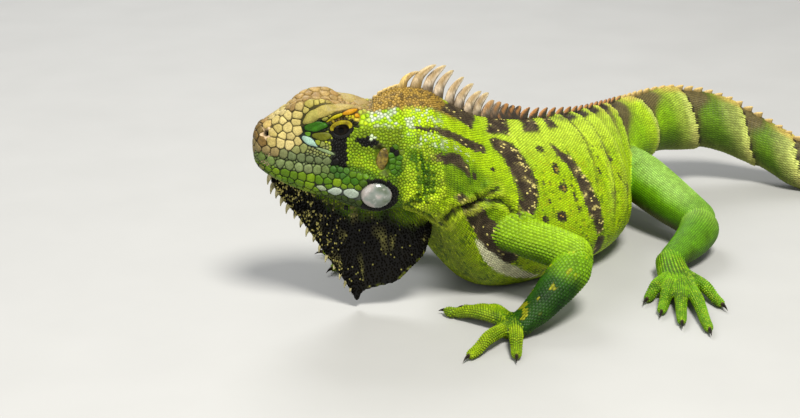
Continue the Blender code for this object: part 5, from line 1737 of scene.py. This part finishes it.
def drum_finish():
    m = Finish('ear_drum_skin')
    mottle = m.noise(520, 4, 0.6)
    colour = m.ramp(mottle, (0.30, rgb(30, 24, 5)), (0.46, rgb(80, 66, 10)),
                    (0.60, rgb(122, 104, 24)), (0.78, rgb(140, 130, 60)))
    return m.done(Base_Color=colour, Roughness=mottle * 0.2 + 0.30,
                  Normal=m.bump(m.noise(900, 3), 0.5, 0.0005))


def pearl_finish():
    m = Finish('cheek_shield_pearl')
    cloud, flecks = m.noise(110, 2), m.noise(420, 2)
    colour = m.ramp(cloud, (0.32, rgb(78, 90, 66)), (0.46, rgb(116, 124, 116)),
                    (0.56, rgb(156, 148, 142)), (0.70, rgb(98, 100, 84)))
    colour = m.mix(colour, rgb(190, 184, 180), flecks.rise(0.55, 0.75) * 0.4)
    return m.done(Base_Color=colour, Roughness=cloud * 0.2 + 0.12, Coat_Weight=0.9,
                  Coat_Roughness=0.06, Normal=m.bump(m.noise(500, 2), 0.3, 0.0003))


# ---- separate pieces
SPINE_RISE = 0.72                 # a spine's height over its foot, as a share of its length
HEAD_SPINE = 300                  # colours the crown's small spines like the tail's


def finished(name, bm, material, slot, colours=None, nodes=()):
    mesh = mesh_of(bm, name)
    mesh.polygons.foreach_set('use_smooth', np.full(len(mesh.polygons), True))
    if colours:
        stain(mesh, colours(read_points(mesh)))
    mesh.materials.append(material)
    ob = new_object(name, mesh)
    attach(ob, 'root')
    if nodes:
        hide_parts(*nodes)
    return ob


def curl(t):
    """How far a spine has bent over at each share of its height, in lengths."""
    return 0.30 * t + 0.50 * t * t


def horn(bm, base, lean, up, length, foot, thick, sink, sides=10, levels=9, blunt=False):
    """A curved, flattened spine: a tube narrowing to its tip and bending toward lean."""
    wide = np.cross(lean, up)
    turn = turns_of(sides)
    rings = []
    for t in np.linspace(0, 1, levels):
        rise = length * SPINE_RISE * (1.34 * t - 0.34 * t * t) + sink * min(1, t * 3)
        size = max(1 - t ** 2.6, 0) ** 0.62 * 0.86 + 0.14
        across = lean
        if blunt:
            size = (1 - 0.68 * t) * max(1 - t ** 7, 0) ** 0.5 + 0.05
            across = unit(lean * (0.96 - 0.49 * t) - up * ((0.30 + t) * min(1, 3 * t)))
        c = base - up * sink + lean * length * curl(t) + up * rise
        rings.append(c + across * (0.5 * foot * size * np.cos(turn))[:, None]
                     + wide * (thick * size * np.sin(turn))[:, None])
    wrap(bm, rings)


def crest_piece(material):
    bm, feet = bmesh.new(), []
    rows = [(s, 0.95 * length, 1.62 * foot, 1.4, 2.2) for s, length, foot in CREST]
    rows += [(s, 6.4 - 3.4 * min(1, (s - 85) / 70), 8.4, 0.95, 1.6)
             for s in np.arange(85, 221, 9)]
    rows += [(s, 3 - 1.1 * (s - 226) / 300, 5.8, 0.95, 1.6) for s in np.arange(228, 470, 6.25)]
    for s, length, foot, thick, sink in rows:
        lean = np.append(heading(s)[0], 0)
        base = np.array([PATH_X(s), PATH_Y(s), TOP(s)])
        tall = length > 6.5
        horn(bm, base, lean, UP, length, foot, thick, sink, 10, 12 if tall else 9, tall)
        feet.append((*base, *lean, length, s))
    back = head_way(1, 0, 0)
    for along, length in ((16.4, 1.5), (18.6, 1.9), (20.8, 2.1), (23, 2.3), (25.2, 2.5), (27.4, 2.8)):
        base = head_at(along, 0)
        horn(bm, base, back, UP, length, 2.2, 0.9, 1.2)
        feet.append((*base, *back, length, HEAD_SPINE))
    feet = np.array(feet)

    def colours(p):
        foot, lean, sizes, along = feet[:, :3], feet[:, 3:6], feet[:, 6], feet[:, 7]
        t = np.clip((p[:, None, 2] - foot[None, :, 2]) / (SPINE_RISE * sizes), 0, 1.2)
        middle = foot[None] + lean[None] * (sizes * curl(t))[..., None]
        near = np.argmin(norm(p[:, None, :2] - middle[..., :2]), axis=1)
        foot, lean, sizes, along = foot[near], lean[near], sizes[near], along[near]
        t = share((p[:, 2] - foot[:, 2]) / (SPINE_RISE * sizes))
        n = wobble(p, 1.6, 3)
        tall = step(7.5, 11, sizes)
        ahead = ((p - foot) * lean).sum(1) - sizes * curl(t)
        c = layers(
            blend(rgb(96, 80, 58), rgb(216, 198, 174), step(0.04, 0.40, t + 0.15 * n)),
            (rgb(150, 122, 72), 0.8 * step(0.1, 0.9, -ahead) * step(0.3, 0.6, t)),
            (rgb(112, 88, 56), 0.7 * step(1.4, 2.4, ahead) * step(0.9, 0.6, t)),
            (BARK, 0.85 * tall * step(0, 0.35, n + 0.2) * step(-0.4, 0.8, ahead) * step(0.75, 0.4, t)))
        low = blend(BARK * 0.8, rgb(166, 116, 62), step(0.62, 1.05, t + 0.35 * n - 0.16 * ahead))
        return layers(
            low, (c, tall),
            (blend(rgb(150, 128, 76), rgb(208, 180, 112), t), step(215, 232, along)),
            (GOLD, 0.7 * step(9.5, 4, along)), (rgb(190, 172, 130), step(0.92, 1, t) * tall))
    return finished('crest_spines', bm, material, 'body_skin', colours)


def chin_spines(material):
    bm, down = bmesh.new(), unit(head_way(0.25, 0, -1))
    for n, i in enumerate(np.linspace(0.3, 7.2, 15)):
        base = (fan_at(i, 0.97, 1) + fan_at(i, 0.97, -1)) / 2
        ahead = unit(head_way(-0.80, 0.12 * math.sin(3 * n), -0.60))
        length, foot = 3.5 + 0.7 * math.sin(2.1 * n) - 0.1 * n, 3.4 - 0.06 * n
        horn(bm, base, down, ahead, length, foot, 0.85, 0.9, sides=8, levels=7)

    def colours(p):
        return mixed(rgb(186, 178, 128), rgb(88, 82, 44), 0.35 + wobble(p, 2, 5))
    return finished('chin_spines', bm, material, 'dewlap_skin', colours)


def ball(bm, centre, half, tilt=0, sides=32, rows=20):
    """An ellipsoid in the head's frame, its poles across the head."""
    sphere = bmesh.ops.create_uvsphere(bm, u_segments=sides, v_segments=rows, radius=1)
    t = math.radians(tilt)
    for vert in sphere['verts']:
        a, h, lat = vert.co.x * half[0], vert.co.y * half[2], vert.co.z * half[1]
        q = head_place(centre[0] + a * math.cos(t) - h * math.sin(t), centre[1] + lat,
                       centre[2] + a * math.sin(t) + h * math.cos(t))
        vert.co = Vector(q * MM)
    bmesh.ops.recalc_face_normals(bm, faces=bm.faces)


def eye_colours(side):
    """Black pupil, a thin lit ring round it, and a dark iris."""
    def colours(p):
        f = head_frame(p)
        r = np.hypot(f[:, 0] - EYE[0], f[:, 2] - EYE[2])
        r = np.where(f[:, 1] * side > EYE[1], r, 9)
        return layers(rgb(1, 1, 1), (rgb(16, 11, 5), step(1.6, 1.8, r)),
                      (rgb(6, 4, 2), step(2.2, 3, r + 0.4 * wobble(p, 0.8, 2))),
                      (rgb(44, 32, 12), 0.5 * bell(r, 1.95, 0.2)), (rgb(8, 6, 5), step(3, 3.5, r)))
    return colours


def claw_piece(name, base, d, length, radius, material):
    """A claw that bends down to the floor, narrower than it is high."""
    bm = bmesh.new()
    side, ahead = np.array([-d[1], d[0], 0]), np.array([d[0], d[1], 0])
    turn = turns_of(10)
    rings = []
    for t in np.linspace(-0.12, 1, 9):
        c = base + ahead * length * t + UP * (0.9 * t - 2.35 * t * t)
        size = radius * (1 - 0.97 * max(t, 0) ** 1.25)
        ring = c + side * (0.72 * size * np.cos(turn))[:, None] + UP * (size * np.sin(turn))[:, None]
        ring[:, 2] = np.maximum(ring[:, 2], 0.03)
        rings.append(ring)
    wrap(bm, rings)

    def colours(p):
        t = share(((p - base) @ ahead) / length)
        return layers(rgb(84, 70, 44), (rgb(26, 18, 12), step(0, 0.35, t)),
                      (rgb(60, 44, 28), step(0.75, 1, t) * 0.6))
    return finished(name, bm, material, 'claw', colours, (name,))


scale_gloss = scale_finish('scale_satin', 0.36, 0.35)
scale_matt = scale_finish('throat_scale', 0.6, 0.35, 0.03)
horn_satin = horn_finish('horn_satin', 0.36)
claw_horn = horn_finish('claw_horn', 0.50, 0.2)

head_coat, nape_coat = lay_head()
for coat, slot, material in (
        (head_coat, 'head_skin', scale_gloss),
        (nape_coat, 'body_skin', scale_gloss),
        (lay_trunk('coat_neck', 0, 45), 'body_skin', scale_gloss),
        (lay_trunk('coat_trunk_front', 45, 118), 'body_skin', scale_gloss),
        (lay_trunk('coat_trunk_rear', 118, 226), 'body_skin', scale_gloss),
        (lay_tail(), 'tail_skin', scale_gloss),
        (lay_limbs('coat_arms', ('upper', 'fore')), 'leg_skin', scale_gloss),
        (lay_limbs('coat_legs', ('thigh', 'shank')), 'leg_skin', scale_gloss),
        (lay_limbs('coat_hands_feet', ('palm', 'finger', 'sole', 'toe')), 'leg_skin', scale_gloss),
        (lay_fan(), 'dewlap_skin', scale_matt)):
    coat.build(material, slot)


def paint_skin():
    """The skin under the scales carries their colours, darkened as painted shade in the gaps between them.
    """
    places, colours = (np.concatenate(part) for part in zip(*ROOTS))
    tree = tree_of(places)
    near = np.array([tree.find(q)[1] for q in surface.points.tolist()])
    f = head_frame(surface.plain)
    a, lat, h = f[:, 0], np.abs(f[:, 1]), f[:, 2]
    # how dark the skin in the gaps is painted, as shade
    depth = 0.15 + 0.39 * step(-16, 18, a)
    depth = np.where(surface.plain[:, 2] < 12, 0.30, depth)
    dome = step(13, 11.5, lat) * step(17.5, 19, h) * step(15, 13, a)
    depth = depth + (0.82 - depth) * dome
    lids = (lat > 5) & (eye_ring(a, h) < 1.75)
    own = paint_head(f, surface.plain, np.full(len(f), 0.5))
    colour = choose(lids, own, colours[near] * depth[:, None])
    # Painted shade: the nostril's pit is painted black inside its pale rim.
    rim = from_nostril(f)
    stain(skin.data, choose(rim < 3.6, blend(PITCH, rgb(206, 180, 146), step(1.3, 2, rim)), colour))


paint_skin()
skin.data.materials.clear()
skin.data.materials.append(scale_finish('bare_skin', 0.5, 0.6))
skin.data.polygons.foreach_set('use_smooth', np.ones(len(skin.data.polygons), bool))
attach(skin, 'root')
limb_nodes = [kind + '_' + label for label, _ in SIDES
              for kind in ('arm_upper', 'forearm', 'hand', 'thigh', 'shank', 'foot')]
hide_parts('head', 'neck', 'trunk', 'dewlap', 'tail_1', 'tail_2', 'tail_3', 'tail_4', 'tail_5',
            *limb_nodes)


def round_pieces(label, side):
    """Eyeball, ear drum and cheek shield of one side of the head."""
    for name, slot, node, material, centre, half, tilt, sides, rows, colours in (
            ('eyeball_', 'eye', 'eye_', eye_wet, EYE, (EYE_R - 0.25,) * 3, 0, 48, 32, eye_colours(side)),
            ('eardrum_', 'eardrum', 'tympanum_', drum, TYMPANUM, TYMPANUM_R, TYMPANUM_TILT, 32, 20, None),
            ('cheek_shield_', 'cheek_shield', 'shield_', pearl, SHIELD, np.add(SHIELD_R, (0, 0.8, 0)),
             0, 40, 24, None)):
        bm = bmesh.new()
        ball(bm, centre * np.array([1, side, 1]), half, tilt, sides, rows)
        finished(name + label, bm, material, slot, colours, (node + label,))


eye_wet, drum, pearl = eye_finish(), drum_finish(), pearl_finish()
for label, side in SIDES:
    round_pieces(label, side)
crest_piece(horn_satin)
chin_spines(horn_satin)
for kind, label, number, place, d in CLAWS:
    claw_piece('claw_%s_%s_%d' % (kind, label, number), np.append(place + d * 0.2, 2.6), d,
               CLAW_LENGTH[kind], CLAW_R[kind], claw_horn)


# ---- floor, light and camera
def floor_finish():
    m = Finish('pale_floor')
    grain = m.noise(18, 4)
    colour = m.mix((0.42, 0.42, 0.41), (0.47, 0.47, 0.46), grain)
    return m.done(Base_Color=colour, Roughness=grain * 0.1 + 0.6)


def lamp(name, place, target, size, power, colour=(1, 1, 1)):
    light = bpy.data.lights.new(name, 'AREA')
    light.shape = 'DISK'
    light.size = size
    light.energy = power
    light.color = colour
    ob = bpy.data.objects.new(name, light)
    bpy.context.scene.collection.objects.link(ob)
    ob.location = place
    ob.rotation_euler = (Vector(target) - Vector(place)).to_track_quat('-Z', 'Y').to_euler()


def lay_floor():
    bm = bmesh.new()
    bmesh.ops.create_grid(bm, x_segments=2, y_segments=2, size=8)
    bmesh.ops.translate(bm, verts=bm.verts, vec=(0, 0, -0.0002))
    mesh = mesh_of(bm, 'floor')
    mesh.materials.append(floor_finish())
    new_object('floor', mesh)


lay_floor()
world = bpy.data.worlds.new('studio')
world.use_nodes = True
world.node_tree.nodes['Background'].inputs['Color'].default_value = (0.96, 0.98, 1, 1)
world.node_tree.nodes['Background'].inputs['Strength'].default_value = 0.34
scene = bpy.context.scene
scene.world = world
lamp('key', (-0.75, -0.75, 1.6), (-0.03, 0, 0.05), 0.55, 50, (1, 0.97, 0.90))
lamp('fill', (-1.6, 0.4, 0.7), (0, 0, 0.05), 1.2, 7)
lamp('rim', (0.7, 0.9, 1.2), (0, 0, 0.05), 0.8, 12)

lens = bpy.data.cameras.new('camera')
lens.lens = 70.875
lens.sensor_width = 36
lens.clip_end = 50
camera = bpy.data.objects.new('camera', lens)
scene.collection.objects.link(camera)
camera.location = (-0.71319, -0.36963, 0.28616)
camera.rotation_mode = 'QUATERNION'
camera.rotation_quaternion = Vector((0.7976, 0.5180, -0.3090)).to_track_quat('-Z', 'Y')
scene.camera = camera
scene.view_settings.view_transform = 'Standard'
